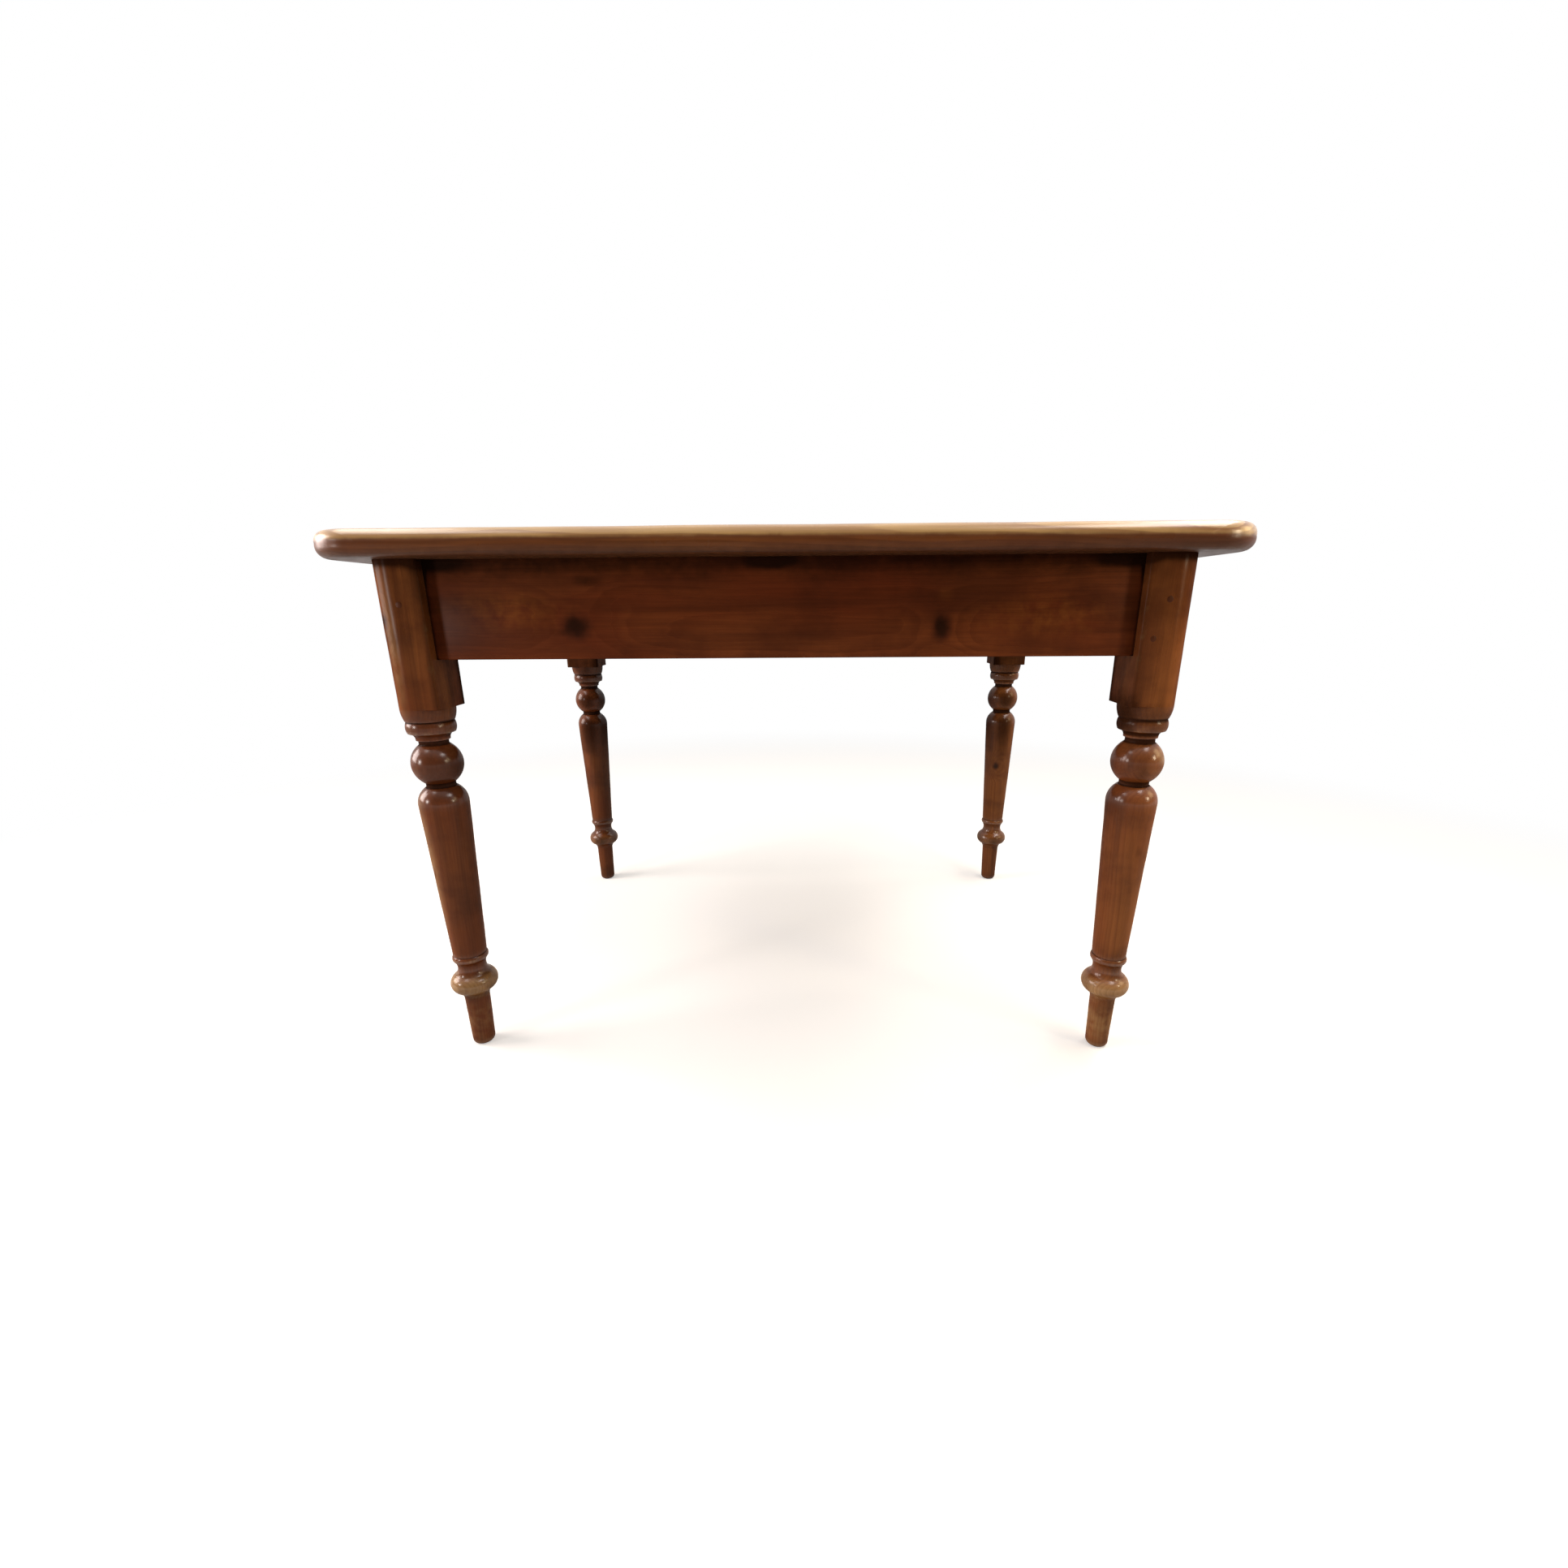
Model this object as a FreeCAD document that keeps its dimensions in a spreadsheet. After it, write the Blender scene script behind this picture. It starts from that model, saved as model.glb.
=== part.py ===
import FreeCAD, Part
import math
import os
import re
import Sketcher

# Kitchen table of stained pine. Four turned legs, four aprons tenoned and pegged into their
# square blocks, glue blocks in the angles, and a top of edge-joined boards that wooden buttons
# and two cross bearers hold down.
# Millimetres. The origin is on the floor under the middle of the top. X runs along the
# table's length, Y from its front edge to its back edge, and Z up. Left is towards -X.

SIZES = (
    # The whole table
    ("table_height", 762, "floor to the upper face of the top"),
    ("top_length", 1170, "top along X"),
    ("top_width", 825, "top along Y"),
    ("top_thickness", 33, "thickness of the boards"),
    ("end_overhang", 58, "top beyond the legs at each end"),
    ("front_overhang", 38, "top beyond the legs at front and back"),
    # The top
    ("corner_radius", 65, "rounding of the top's corners in plan"),
    ("upper_round", 14, "rounding of the top's upper edge"),
    ("lower_round", 13, "rounding of the top's lower edge"),
    ("board_count", 5, "boards across the top"),
    ("tongue_thickness", 8, "loose tongue between two boards"),
    ("tongue_width", 24, "loose tongue across the joint"),
    ("tongue_end_stop", 70, "from the top's end to the tongue's end"),
    ("groove_clearance", 0.5, "room past a tongue's edges and ends"),
    # The square block at the head of a leg
    ("block_side", 70, "side of the block"),
    ("block_height", 190, "height of the block"),
    ("block_arris", 1.5, "easing of the block's three square edges"),
    # The turned part of a leg, from the block down
    ("vase_height", 18, "rounded part under the block"),
    ("vase_foot_radius", 31.2, "its radius above the collar"),
    ("collar_height", 17, "collar bead"),
    ("collar_seat_radius", 30.2, "radius where the collar bead starts and ends"),
    ("collar_radius", 32.2, "collar bead at its widest"),
    ("cove_height", 8.2, "hollow under the collar"),
    ("cove_foot_radius", 22, "radius at the foot of the hollow"),
    ("neck_band_height", 2, "narrow band under the hollow"),
    ("upper_neck_radius", 19.2, "neck above the ball"),
    ("upper_neck_height", 5.8, "neck above the ball"),
    ("ball_radius", 33.8, "ball"),
    ("lower_neck_radius", 19.4, "neck below the ball"),
    ("lower_neck_height", 6, "neck below the ball"),
    ("shoulder_step_radius", 21, "radius at the top of the shoulder"),
    ("shoulder_height", 24, "domed shoulder of the long taper"),
    ("taper_top_radius", 33.4, "long taper under its shoulder"),
    ("taper_bottom_radius", 23.9, "long taper at its lower end"),
    # The turned part of a leg, from the floor up
    ("foot_round", 8, "rounding under the foot"),
    ("foot_bottom_radius", 16.5, "foot above its rounding"),
    ("foot_top_radius", 18.3, "foot at its upper end"),
    ("foot_height", 83, "plain foot"),
    ("flare_height", 14, "flare from the foot to the ring"),
    ("flare_hollow_radius", 18, "hollow of the flare"),
    ("ring_height", 29, "low ring"),
    ("ring_seat_radius", 25, "radius where the low ring starts and ends"),
    ("ring_radius", 34, "low ring at its widest"),
    ("slim_neck_height", 23, "slim neck between the low ring and the astragal"),
    ("slim_neck_radius", 21.2, "slim neck at its narrowest"),
    ("astragal_height", 11, "small bead at the foot of the long taper"),
    ("astragal_seat_radius", 23.2, "radius where the small bead starts and ends"),
    ("astragal_radius", 25.8, "small bead at its widest"),
    # The aprons and their tenons
    ("apron_height", 125, "apron"),
    ("apron_thickness", 22, "apron"),
    ("apron_arris", 1.5, "easing of the apron's lower edges"),
    ("apron_setback", 14, "apron's outer face behind the block's face"),
    ("tenon_shoulder", 6, "from the apron's outer face to the tenon"),
    ("tenon_thickness", 10, "tenon"),
    ("haunch_height", 20, "haunch above the tenon"),
    ("haunch_length", 12, "haunch into the leg"),
    ("mitre_gap", 1, "from a tenon's mitred end to the mitre line"),
    ("cut_overrun", 2, "how far a cut starts outside the wood"),
    # The pegs through the tenons
    ("peg_diameter", 8, "peg at its outer end"),
    ("peg_tip_diameter", 6.8, "peg at its inner end"),
    ("peg_length", 45, "peg"),
    ("peg_fit", 0.2, "room round a peg and past its tip"),
    ("peg_near_reach", 16, "lower peg from the tenon's shoulder"),
    ("peg_far_reach", 30, "upper peg from the tenon's shoulder"),
    ("long_peg_low", 22, "lower peg of a long apron above its lower edge"),
    ("long_peg_high", 70, "upper peg of a long apron above its lower edge"),
    ("short_peg_low", 46, "lower peg of a short apron above its lower edge"),
    ("short_peg_high", 94, "upper peg of a short apron above its lower edge"),
    # The glue blocks
    ("glue_block_side", 28, "glue block along the apron and along the leg"),
    ("glue_block_height", 90, "glue block"),
    ("glue_block_drop", 12, "from the top's underside to the glue block"),
    # The buttons and the slots for them
    ("button_length", 36, "button along the apron"),
    ("button_reach", 26, "button beyond the apron's inner face"),
    ("button_height", 20, "button"),
    ("button_tongue", 9, "button's tongue into its slot"),
    ("slot_drop", 10, "from the top's underside to the slot"),
    ("slot_height", 11, "slot"),
    ("slot_depth", 10, "slot"),
    ("slot_length", 42, "slot along the apron"),
    ("button_spacing_share", 0.3333, "spacing of the buttons, as a share of the apron's length"),
    # The cross bearers under the boards
    ("bearer_width", 45, "bearer along X"),
    ("bearer_height", 28, "bearer"),
    ("bearer_housing", 10, "bearer let into each long apron"),
    ("bearer_button_gap", 54, "from a bearer to the outer button beside it"),
    # The wood screws
    ("screw_diameter", 4, "shank"),
    ("screw_head_diameter", 8, "countersunk head"),
    ("screw_head_height", 3, "countersunk head"),
    ("screw_tip_height", 5, "pointed end"),
    ("screw_fit", 0.15, "room round a screw"),
    ("button_screw_length", 34, "screw through a button"),
    ("bearer_screw_length", 46, "screw through a bearer"),
    ("screw_spread_share", 0.93, "bearer screws' spacing, as a share of a board's width"),
)

doc = FreeCAD.newDocument("KitchenTable")
sheet = doc.addObject("Spreadsheet::Sheet", "Sizes")
for row, (alias, size, meaning) in enumerate(SIZES, start=1):
    sheet.set(f"A{row}", alias)
    sheet.set(f"B{row}", str(size))
    sheet.setAlias(f"B{row}", alias)
    sheet.set(f"C{row}", meaning)
doc.recompute()

ALIASES = {alias for alias, _, _ in SIZES}
WORD = re.compile(r"[a-z][a-z_]*")
HEIGHT_TOLERANCE = 1e-6


def bound(text):
    """The same sum, with each size's name pointing at its cell."""
    return WORD.sub(lambda word: f"Sizes.{word[0]}" if word[0] in ALIASES else word[0], text)


def number(text):
    """The value of a sum of sizes."""
    return float(sheet.evalExpression(bound(text)))


def signed(sign, text):
    """A sum of sizes with a sign in front."""
    return f"-({text})" if sign < 0 else f"({text})"


def hollow(depth, chord):
    """Radius of an arc of the given depth over the given chord."""
    return f"((({chord}) / 2)^2 + ({depth})^2) / (2 * ({depth}))"


def sweep(run, rise):
    """Radius of an arc that starts upright and moves in by run while it climbs by rise."""
    return f"(({run})^2 + ({rise})^2) / (2 * ({run}))"


# Places that several pieces share
LEG_TOP = "(table_height - top_thickness)"
HALF = "(block_side / 2)"
LEG_X = f"(top_length / 2 - end_overhang - {HALF})"
LEG_Y = f"(top_width / 2 - front_overhang - {HALF})"
APRON_FOOT = f"({LEG_TOP} - apron_height)"
TENON_FAR = f"({HALF} - apron_setback - tenon_shoulder)"
TENON_NEAR = f"({TENON_FAR} - tenon_thickness)"
APRON_INNER = f"({HALF} - apron_setback - apron_thickness)"
LONG_SPAN = f"(2 * {LEG_X} - block_side)"
SHORT_SPAN = f"(2 * {LEG_Y} - block_side)"
BUTTON_STEP = "(button_spacing_share * {span})"
BEARER_X = (
    f"({BUTTON_STEP.format(span=LONG_SPAN)} - button_length / 2"
    " - bearer_button_gap - bearer_width / 2)"
)
BOARD_WIDTH = "(top_width / board_count)"
BOARD_MIDDLE = f"({LEG_TOP} + top_thickness / 2)"

LEFT, RIGHT = -1, 1
FRONT, BACK = -1, 1
SIDE_NAMES = {LEFT: "left", RIGHT: "right"}
DEPTH_NAMES = {FRONT: "front", BACK: "back"}


# Sketches and features

def new_body(label):
    """An empty body."""
    body = doc.addObject("PartDesign::Body", label)
    body.Label = label
    return body


def new_sketch(body, plane_role, lift="0"):
    """A sketch on one of the body's own planes, moved along that plane's normal."""
    sketch = body.newObject("Sketcher::SketchObject", f"{body.Name}_sketch")
    plane = next(item for item in body.Origin.OriginFeatures if item.Role == plane_role)
    sketch.AttachmentSupport = (plane, [""])
    sketch.MapMode = "FlatFace"
    if lift != "0":
        sketch.setExpression("AttachmentOffset.Base.z", bound(lift))
    return sketch


def pin_point(sketch, edge, end, point):
    """Ties one end of an edge to its two coordinates, measured from the origin."""
    for kind, text, axis in (("DistanceX", point[0], -2), ("DistanceY", point[1], -1)):
        if text == "0":
            sketch.addConstraint(Sketcher.Constraint("PointOnObject", edge, end, axis))
            continue
        index = sketch.addConstraint(Sketcher.Constraint(kind, -1, 1, edge, end, number(text)))
        sketch.setExpression(f"Constraints[{index}]", bound(text))


def arc_between(start, end, radius, bulge):
    """Arc from start to end, which bulges to the right of its travel where bulge is 1."""
    chord = end - start
    left = FreeCAD.Vector(-chord.y, chord.x, 0).normalize() * bulge
    to_centre = math.sqrt(max(radius ** 2 - (chord.Length / 2) ** 2, 0))
    middle = (start + end) * 0.5 - left * (radius - to_centre)
    return Part.Arc(start, middle, end)


def draw_outline(sketch, corners):
    """Draws a closed outline. A corner is (x, y), or (x, y, radius, bulge) after an arc."""
    points = [FreeCAD.Vector(number(corner[0]), number(corner[1]), 0) for corner in corners]
    ends = []
    for index, corner in enumerate(corners):
        start = points[index - 1]
        end = points[index]
        if len(corner) == 2:
            edge = sketch.addGeometry(Part.LineSegment(start, end), False)
            ends.append((edge, 1, 2))
            continue
        edge = sketch.addGeometry(arc_between(start, end, number(corner[2]), corner[3]), False)
        forward = (sketch.getPoint(edge, 1) - start).Length < (sketch.getPoint(edge, 2) - start).Length
        ends.append((edge, 1, 2) if forward else (edge, 2, 1))
    for index, corner in enumerate(corners):
        edge, _, last = ends[index]
        following, first, _ = ends[(index + 1) % len(corners)]
        sketch.addConstraint(Sketcher.Constraint("Coincident", edge, last, following, first))
        pin_point(sketch, edge, last, corner)
        if len(corner) == 4:
            radius = sketch.addConstraint(Sketcher.Constraint("Radius", edge, number(corner[2])))
            sketch.setExpression(f"Constraints[{radius}]", bound(corner[2]))


def draw_rectangle(sketch, x_low, x_high, y_low, y_high):
    """Draws a rectangle from its four limits."""
    draw_outline(sketch, [(x_high, y_low), (x_high, y_high), (x_low, y_high), (x_low, y_low)])


def draw_circle(sketch, x, y, radius):
    """Draws a circle tied to its centre and radius."""
    centre = FreeCAD.Vector(number(x), number(y), 0)
    up = FreeCAD.Vector(0, 0, 1)
    edge = sketch.addGeometry(Part.Circle(centre, up, number(radius)), False)
    pin_point(sketch, edge, 3, (x, y))
    index = sketch.addConstraint(Sketcher.Constraint("Radius", edge, number(radius)))
    sketch.setExpression(f"Constraints[{index}]", bound(radius))


def pad(body, sketch, length, both_ways=False):
    """Grows the body from a sketch, along the sketch's normal or to both sides."""
    feature = body.newObject("PartDesign::Pad", f"{body.Name}_pad")
    feature.Profile = sketch
    feature.Midplane = both_ways
    feature.setExpression("Length", bound(length))
    doc.recompute()
    return feature


def pocket(body, sketch, depth, along_normal=False):
    """Cuts a sketch into the body, against the sketch's normal or along it."""
    before = body.Shape.Volume
    feature = body.newObject("PartDesign::Pocket", f"{body.Name}_pocket")
    feature.Profile = sketch
    feature.Reversed = along_normal
    feature.setExpression("Length", bound(depth))
    doc.recompute()
    if body.Shape.Volume >= before:
        raise RuntimeError(f"{feature.Name} cuts nothing")
    return feature


def place(item, x="0", y="0", z="0", turn=0):
    """Puts an object at a place made of sizes, turned by whole degrees about Z."""
    upright = FreeCAD.Vector(0, 0, 1)
    item.Placement = FreeCAD.Placement(FreeCAD.Vector(), FreeCAD.Rotation(upright, turn))
    for axis, text in (("x", x), ("y", y), ("z", z)):
        if text != "0":
            item.setExpression(f"Placement.Base.{axis}", bound(text))


def new_box(name, x, y, z, length, width, height):
    """A box from its lowest corner and its three sides."""
    box = doc.addObject("Part::Box", name)
    for side, text in (("Length", length), ("Width", width), ("Height", height)):
        box.setExpression(side, bound(text))
    place(box, x, y, z)
    return box


def new_cylinder(name, x, y, z, radius, height):
    """An upright cylinder from the middle of its lower face."""
    cylinder = doc.addObject("Part::Cylinder", name)
    cylinder.setExpression("Radius", bound(radius))
    cylinder.setExpression("Height", bound(height))
    place(cylinder, x, y, z)
    return cylinder


def new_cone(name, x, y, z, lower_radius, upper_radius, height):
    """An upright cone from the middle of its lower face."""
    cone = doc.addObject("Part::Cone", name)
    cone.setExpression("Radius1", bound(lower_radius))
    cone.setExpression("Radius2", bound(upper_radius))
    cone.setExpression("Height", bound(height))
    place(cone, x, y, z)
    return cone


def new_union(label, shapes):
    """One object of several shapes, each touching group a solid of its own."""
    union = doc.addObject("Part::MultiFuse", label)
    union.Label = label
    union.Shapes = shapes
    return union


def new_cut(label, base, tool):
    """The base with the tool cut away."""
    cut = doc.addObject("Part::Cut", label)
    cut.Label = label
    cut.Base = base
    cut.Tool = tool
    return cut


# Legs

RING_FOOT = "(foot_height + flare_height)"
RING_TOP = f"({RING_FOOT} + ring_height)"
ASTRAGAL_FOOT = f"({RING_TOP} + slim_neck_height)"
ASTRAGAL_TOP = f"({ASTRAGAL_FOOT} + astragal_height)"
BLOCK_FOOT = f"({LEG_TOP} - block_height)"
VASE_FOOT = f"({BLOCK_FOOT} - vase_height)"
COLLAR_FOOT = f"({VASE_FOOT} - collar_height)"
COVE_FOOT = f"({COLLAR_FOOT} - cove_height)"
BAND_FOOT = f"({COVE_FOOT} - neck_band_height)"
BALL_TOP = f"({BAND_FOOT} - upper_neck_height)"
BALL_FOOT = (
    f"({BALL_TOP} - sqrt(ball_radius^2 - upper_neck_radius^2)"
    " - sqrt(ball_radius^2 - lower_neck_radius^2))"
)
SHOULDER_TOP = f"({BALL_FOOT} - lower_neck_height)"
TAPER_TOP = f"({SHOULDER_TOP} - shoulder_height)"
OUT, IN = 1, -1


def turning_outline():
    """Half of the leg's turned outline as radius and height, from the floor to the block."""
    return [
        ("0", "0"),
        ("foot_bottom_radius - foot_round", "0"),
        ("foot_bottom_radius", "foot_round", "foot_round", OUT),
        ("foot_top_radius", "foot_height"),
        ("ring_seat_radius", RING_FOOT, "flare_hollow_radius", IN),
        ("ring_seat_radius", RING_TOP, hollow("ring_radius - ring_seat_radius", "ring_height"), OUT),
        (
            "astragal_seat_radius",
            ASTRAGAL_FOOT,
            hollow("ring_seat_radius - slim_neck_radius", "slim_neck_height"),
            IN,
        ),
        (
            "astragal_seat_radius",
            ASTRAGAL_TOP,
            hollow("astragal_radius - astragal_seat_radius", "astragal_height"),
            OUT,
        ),
        ("taper_bottom_radius", ASTRAGAL_TOP),
        ("taper_top_radius", TAPER_TOP),
        (
            "shoulder_step_radius",
            SHOULDER_TOP,
            sweep("taper_top_radius - shoulder_step_radius", "shoulder_height"),
            OUT,
        ),
        ("lower_neck_radius", SHOULDER_TOP),
        ("lower_neck_radius", BALL_FOOT),
        ("upper_neck_radius", BALL_TOP, "ball_radius", OUT),
        ("upper_neck_radius", BAND_FOOT),
        ("cove_foot_radius", BAND_FOOT),
        ("cove_foot_radius", COVE_FOOT),
        (
            "collar_seat_radius",
            COLLAR_FOOT,
            sweep("collar_seat_radius - cove_foot_radius", "cove_height"),
            IN,
        ),
        (
            "collar_seat_radius",
            VASE_FOOT,
            hollow("collar_radius - collar_seat_radius", "collar_height"),
            OUT,
        ),
        ("vase_foot_radius", VASE_FOOT),
        (HALF, BLOCK_FOOT, sweep(f"{HALF} - vase_foot_radius", "vase_height"), OUT),
        ("0", BLOCK_FOOT),
    ]


def block_outline(side, depth):
    """Plan of the block: a quarter round at the outer corner, three eased square corners."""
    bulge = side * depth
    flat = f"{HALF} - block_arris"
    corners = [
        (0, 1, "0", HALF, HALF),
        (-1, 1, flat, HALF, None),
        (-1, 1, HALF, flat, "block_arris"),
        (-1, -1, HALF, flat, None),
        (-1, -1, flat, HALF, "block_arris"),
        (1, -1, flat, HALF, None),
        (1, -1, HALF, flat, "block_arris"),
        (1, 0, HALF, "0", None),
    ]
    outline = []
    for out_x, out_y, x, y, radius in corners:
        x_text = x if x == "0" else signed(side * out_x, x)
        y_text = y if y == "0" else signed(depth * out_y, y)
        outline.append((x_text, y_text) if radius is None else (x_text, y_text, radius, bulge))
    return outline


def add_mortises(body, side, depth):
    """Cuts the two mortises, which meet on the mitre line, and the grooves for the haunches."""
    def corner(out_x, out_y):
        return signed(side, out_x), signed(depth, out_y)

    mouth = f"-({HALF} + cut_overrun)"
    mortises = new_sketch(body, "XY_Plane", APRON_FOOT)
    draw_outline(mortises, [
        corner(mouth, TENON_NEAR),
        corner(TENON_NEAR, TENON_NEAR),
        corner(TENON_NEAR, mouth),
        corner(TENON_FAR, mouth),
        corner(TENON_FAR, TENON_FAR),
        corner(mouth, TENON_FAR),
    ])
    pocket(body, mortises, "apron_height - haunch_height", along_normal=True)
    end = f"-({HALF} - haunch_length)"
    grooves = new_sketch(body, "XY_Plane", LEG_TOP)
    draw_outline(grooves, [
        corner(mouth, TENON_NEAR),
        corner(end, TENON_NEAR),
        corner(end, TENON_FAR),
        corner(mouth, TENON_FAR),
    ])
    draw_outline(grooves, [
        corner(TENON_NEAR, mouth),
        corner(TENON_NEAR, end),
        corner(TENON_FAR, end),
        corner(TENON_FAR, mouth),
    ])
    pocket(body, grooves, "haunch_height")


def add_peg_holes(body, side, depth):
    """Bores the peg holes from the block's front or back face and from its end face."""
    faces = (
        ("XZ_Plane", signed(-depth, HALF), side, depth > 0, "long_peg_low", "long_peg_high"),
        ("YZ_Plane", signed(side, HALF), depth, side < 0, "short_peg_low", "short_peg_high"),
    )
    for plane, lift, inward, along_normal, low, high in faces:
        holes = new_sketch(body, plane, lift)
        for reach, height in (("peg_near_reach", low), ("peg_far_reach", high)):
            across = signed(-inward, f"{HALF} - {reach}")
            draw_circle(holes, across, f"{APRON_FOOT} + {height}", "peg_diameter / 2 + peg_fit")
        pocket(body, holes, "peg_length + peg_fit", along_normal)


def make_leg(side, depth):
    """One leg: turned below, square above, with its mortises and peg holes."""
    body = new_body(f"leg_{DEPTH_NAMES[depth]}_{SIDE_NAMES[side]}")
    place(body, signed(side, LEG_X), signed(depth, LEG_Y))
    turning = new_sketch(body, "XZ_Plane")
    draw_outline(turning, turning_outline())
    turned = body.newObject("PartDesign::Revolution", f"{body.Name}_turned")
    turned.Profile = turning
    turned.ReferenceAxis = (turning, ["V_Axis"])
    turned.Angle = 360
    doc.recompute()
    block = new_sketch(body, "XY_Plane", BLOCK_FOOT)
    draw_outline(block, block_outline(side, depth))
    pad(body, block, "block_height")
    add_mortises(body, side, depth)
    add_peg_holes(body, side, depth)
    return body


# Aprons. In an apron's own frame X runs along it from its middle, Y inwards from its outer
# face, and Z up from its lower edge.

class Rail:
    """What tells one apron from another: its side of the table, its span and its fixings."""

    def __init__(self, name, turn, x, y, span, pegs, button_count, carries_bearers):
        self.name = name
        self.turn = turn
        self.x = x
        self.y = y
        self.span = span
        self.pegs = pegs
        self.button_count = button_count
        self.carries_bearers = carries_bearers

    def put(self, item):
        """Places an object that was made in this apron's own frame."""
        place(item, self.x, self.y, APRON_FOOT, self.turn)

    def peg_places(self):
        """Along and up for the four pegs that hold this apron."""
        places = []
        for end in (LEFT, RIGHT):
            for reach, height in zip(("peg_near_reach", "peg_far_reach"), self.pegs):
                places.append((signed(end, f"{self.span} / 2 + {reach}"), height))
        return places

    def button_offsets(self):
        """Along for the middle of each button."""
        middle = (self.button_count - 1) / 2
        return [
            f"({index - middle} * {BUTTON_STEP.format(span=self.span)})"
            for index in range(self.button_count)
        ]


LONG_Y = f"{LEG_Y} + {HALF} - apron_setback"
SHORT_X = f"{LEG_X} + {HALF} - apron_setback"
LONG_PEGS = ("long_peg_low", "long_peg_high")
SHORT_PEGS = ("short_peg_low", "short_peg_high")
RAILS = (
    Rail("front", 0, "0", signed(FRONT, LONG_Y), LONG_SPAN, LONG_PEGS, 3, True),
    Rail("back", 180, "0", signed(BACK, LONG_Y), LONG_SPAN, LONG_PEGS, 3, True),
    Rail("left", -90, signed(LEFT, SHORT_X), "0", SHORT_SPAN, SHORT_PEGS, 2, False),
    Rail("right", 90, signed(RIGHT, SHORT_X), "0", SHORT_SPAN, SHORT_PEGS, 2, False),
)


def make_apron(rail):
    """One apron: an eased board, its haunched and mitred tenons, and its slots and holes."""
    body = new_body(f"apron_{rail.name}")
    rail.put(body)
    section = new_sketch(body, "YZ_Plane")
    draw_outline(section, [
        ("apron_thickness", "apron_arris", "apron_arris", 1),
        ("apron_thickness", "apron_height"),
        ("0", "apron_height"),
        ("0", "apron_arris"),
        ("apron_arris", "0", "apron_arris", 1),
        ("apron_thickness - apron_arris", "0"),
    ])
    pad(body, section, rail.span, both_ways=True)
    tenon_back = "tenon_shoulder + tenon_thickness"
    outer_end = f"{rail.span} / 2 + {HALF} + {TENON_FAR} - mitre_gap"
    inner_end = f"{rail.span} / 2 + {HALF} + {TENON_NEAR} - mitre_gap"
    tenons = new_sketch(body, "XY_Plane")
    draw_outline(tenons, [
        (signed(RIGHT, outer_end), "tenon_shoulder"),
        (signed(RIGHT, inner_end), tenon_back),
        (signed(LEFT, inner_end), tenon_back),
        (signed(LEFT, outer_end), "tenon_shoulder"),
    ])
    pad(body, tenons, "apron_height - haunch_height")
    haunches = new_sketch(body, "XY_Plane")
    haunch_end = f"{rail.span} / 2 + haunch_length"
    draw_rectangle(
        haunches, signed(LEFT, haunch_end), signed(RIGHT, haunch_end), "tenon_shoulder", tenon_back
    )
    pad(body, haunches, "apron_height")
    holes = new_sketch(body, "XZ_Plane")
    for along, up in rail.peg_places():
        draw_circle(holes, along, up, "peg_diameter / 2 + peg_fit")
    pocket(body, holes, "apron_thickness")
    slots = new_sketch(body, "XZ_Plane", "-apron_thickness")
    for offset in rail.button_offsets():
        draw_rectangle(
            slots,
            f"{offset} - slot_length / 2",
            f"{offset} + slot_length / 2",
            "apron_height - slot_drop - slot_height",
            "apron_height - slot_drop",
        )
    pocket(body, slots, "slot_depth", along_normal=True)
    if rail.carries_bearers:
        housings = new_sketch(body, "XZ_Plane", "-apron_thickness")
        for end in (LEFT, RIGHT):
            middle = signed(end, BEARER_X)
            draw_rectangle(
                housings,
                f"{middle} - bearer_width / 2",
                f"{middle} + bearer_width / 2",
                "apron_height - bearer_height",
                "apron_height + cut_overrun",
            )
        pocket(body, housings, "bearer_housing", along_normal=True)
    return body


def make_pegs(rail):
    """The four tapered pegs that hold one apron's tenons, flush with the blocks' faces."""
    label = f"pegs_{rail.name}"
    lying = FreeCAD.Rotation(FreeCAD.Vector(1, 0, 0), -90)
    pegs = []
    for along, up in rail.peg_places():
        peg = new_cone(
            "peg", along, "-apron_setback", up, "peg_diameter / 2", "peg_tip_diameter / 2", "peg_length"
        )
        base = peg.Placement.Base
        peg.Placement = FreeCAD.Placement(base, lying)
        pegs.append(peg)
    group = doc.addObject("Part::Compound", label)
    group.Label = label
    group.Links = pegs
    rail.put(group)
    return group


# Glue blocks

def make_glue_block(side, depth, on_long_apron):
    """A triangular block glued into the angle between a leg and an apron."""
    run = "long" if on_long_apron else "short"
    body = new_body(f"glue_block_{DEPTH_NAMES[depth]}_{SIDE_NAMES[side]}_{run}")
    place(
        body,
        signed(side, LEG_X),
        signed(depth, LEG_Y),
        f"{LEG_TOP} - glue_block_drop - glue_block_height",
    )
    outline = [
        (f"-{HALF}", APRON_INNER),
        (f"-({HALF} + glue_block_side)", APRON_INNER),
        (f"-{HALF}", f"{APRON_INNER} - glue_block_side"),
    ]
    if not on_long_apron:
        outline = [(out_y, out_x) for out_x, out_y in outline]
    section = new_sketch(body, "XY_Plane")
    draw_outline(section, [(signed(side, x), signed(depth, y)) for x, y in outline])
    pad(body, section, "glue_block_height")
    return body


# Wood screws. Each place is its x, its y, the height of its head's face and its length.

def button_screw_places():
    """Where the screws go through the buttons."""
    z = f"{LEG_TOP} - button_height"
    inset = "apron_thickness + button_reach / 2"
    places = []
    for rail in RAILS:
        for offset in rail.button_offsets():
            if rail.x == "0":
                sign = FRONT if rail.name == "front" else BACK
                places.append((offset, signed(sign, f"{LONG_Y} - ({inset})"), z, "button_screw_length"))
            else:
                sign = LEFT if rail.name == "left" else RIGHT
                places.append((signed(sign, f"{SHORT_X} - ({inset})"), offset, z, "button_screw_length"))
    return places


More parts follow.
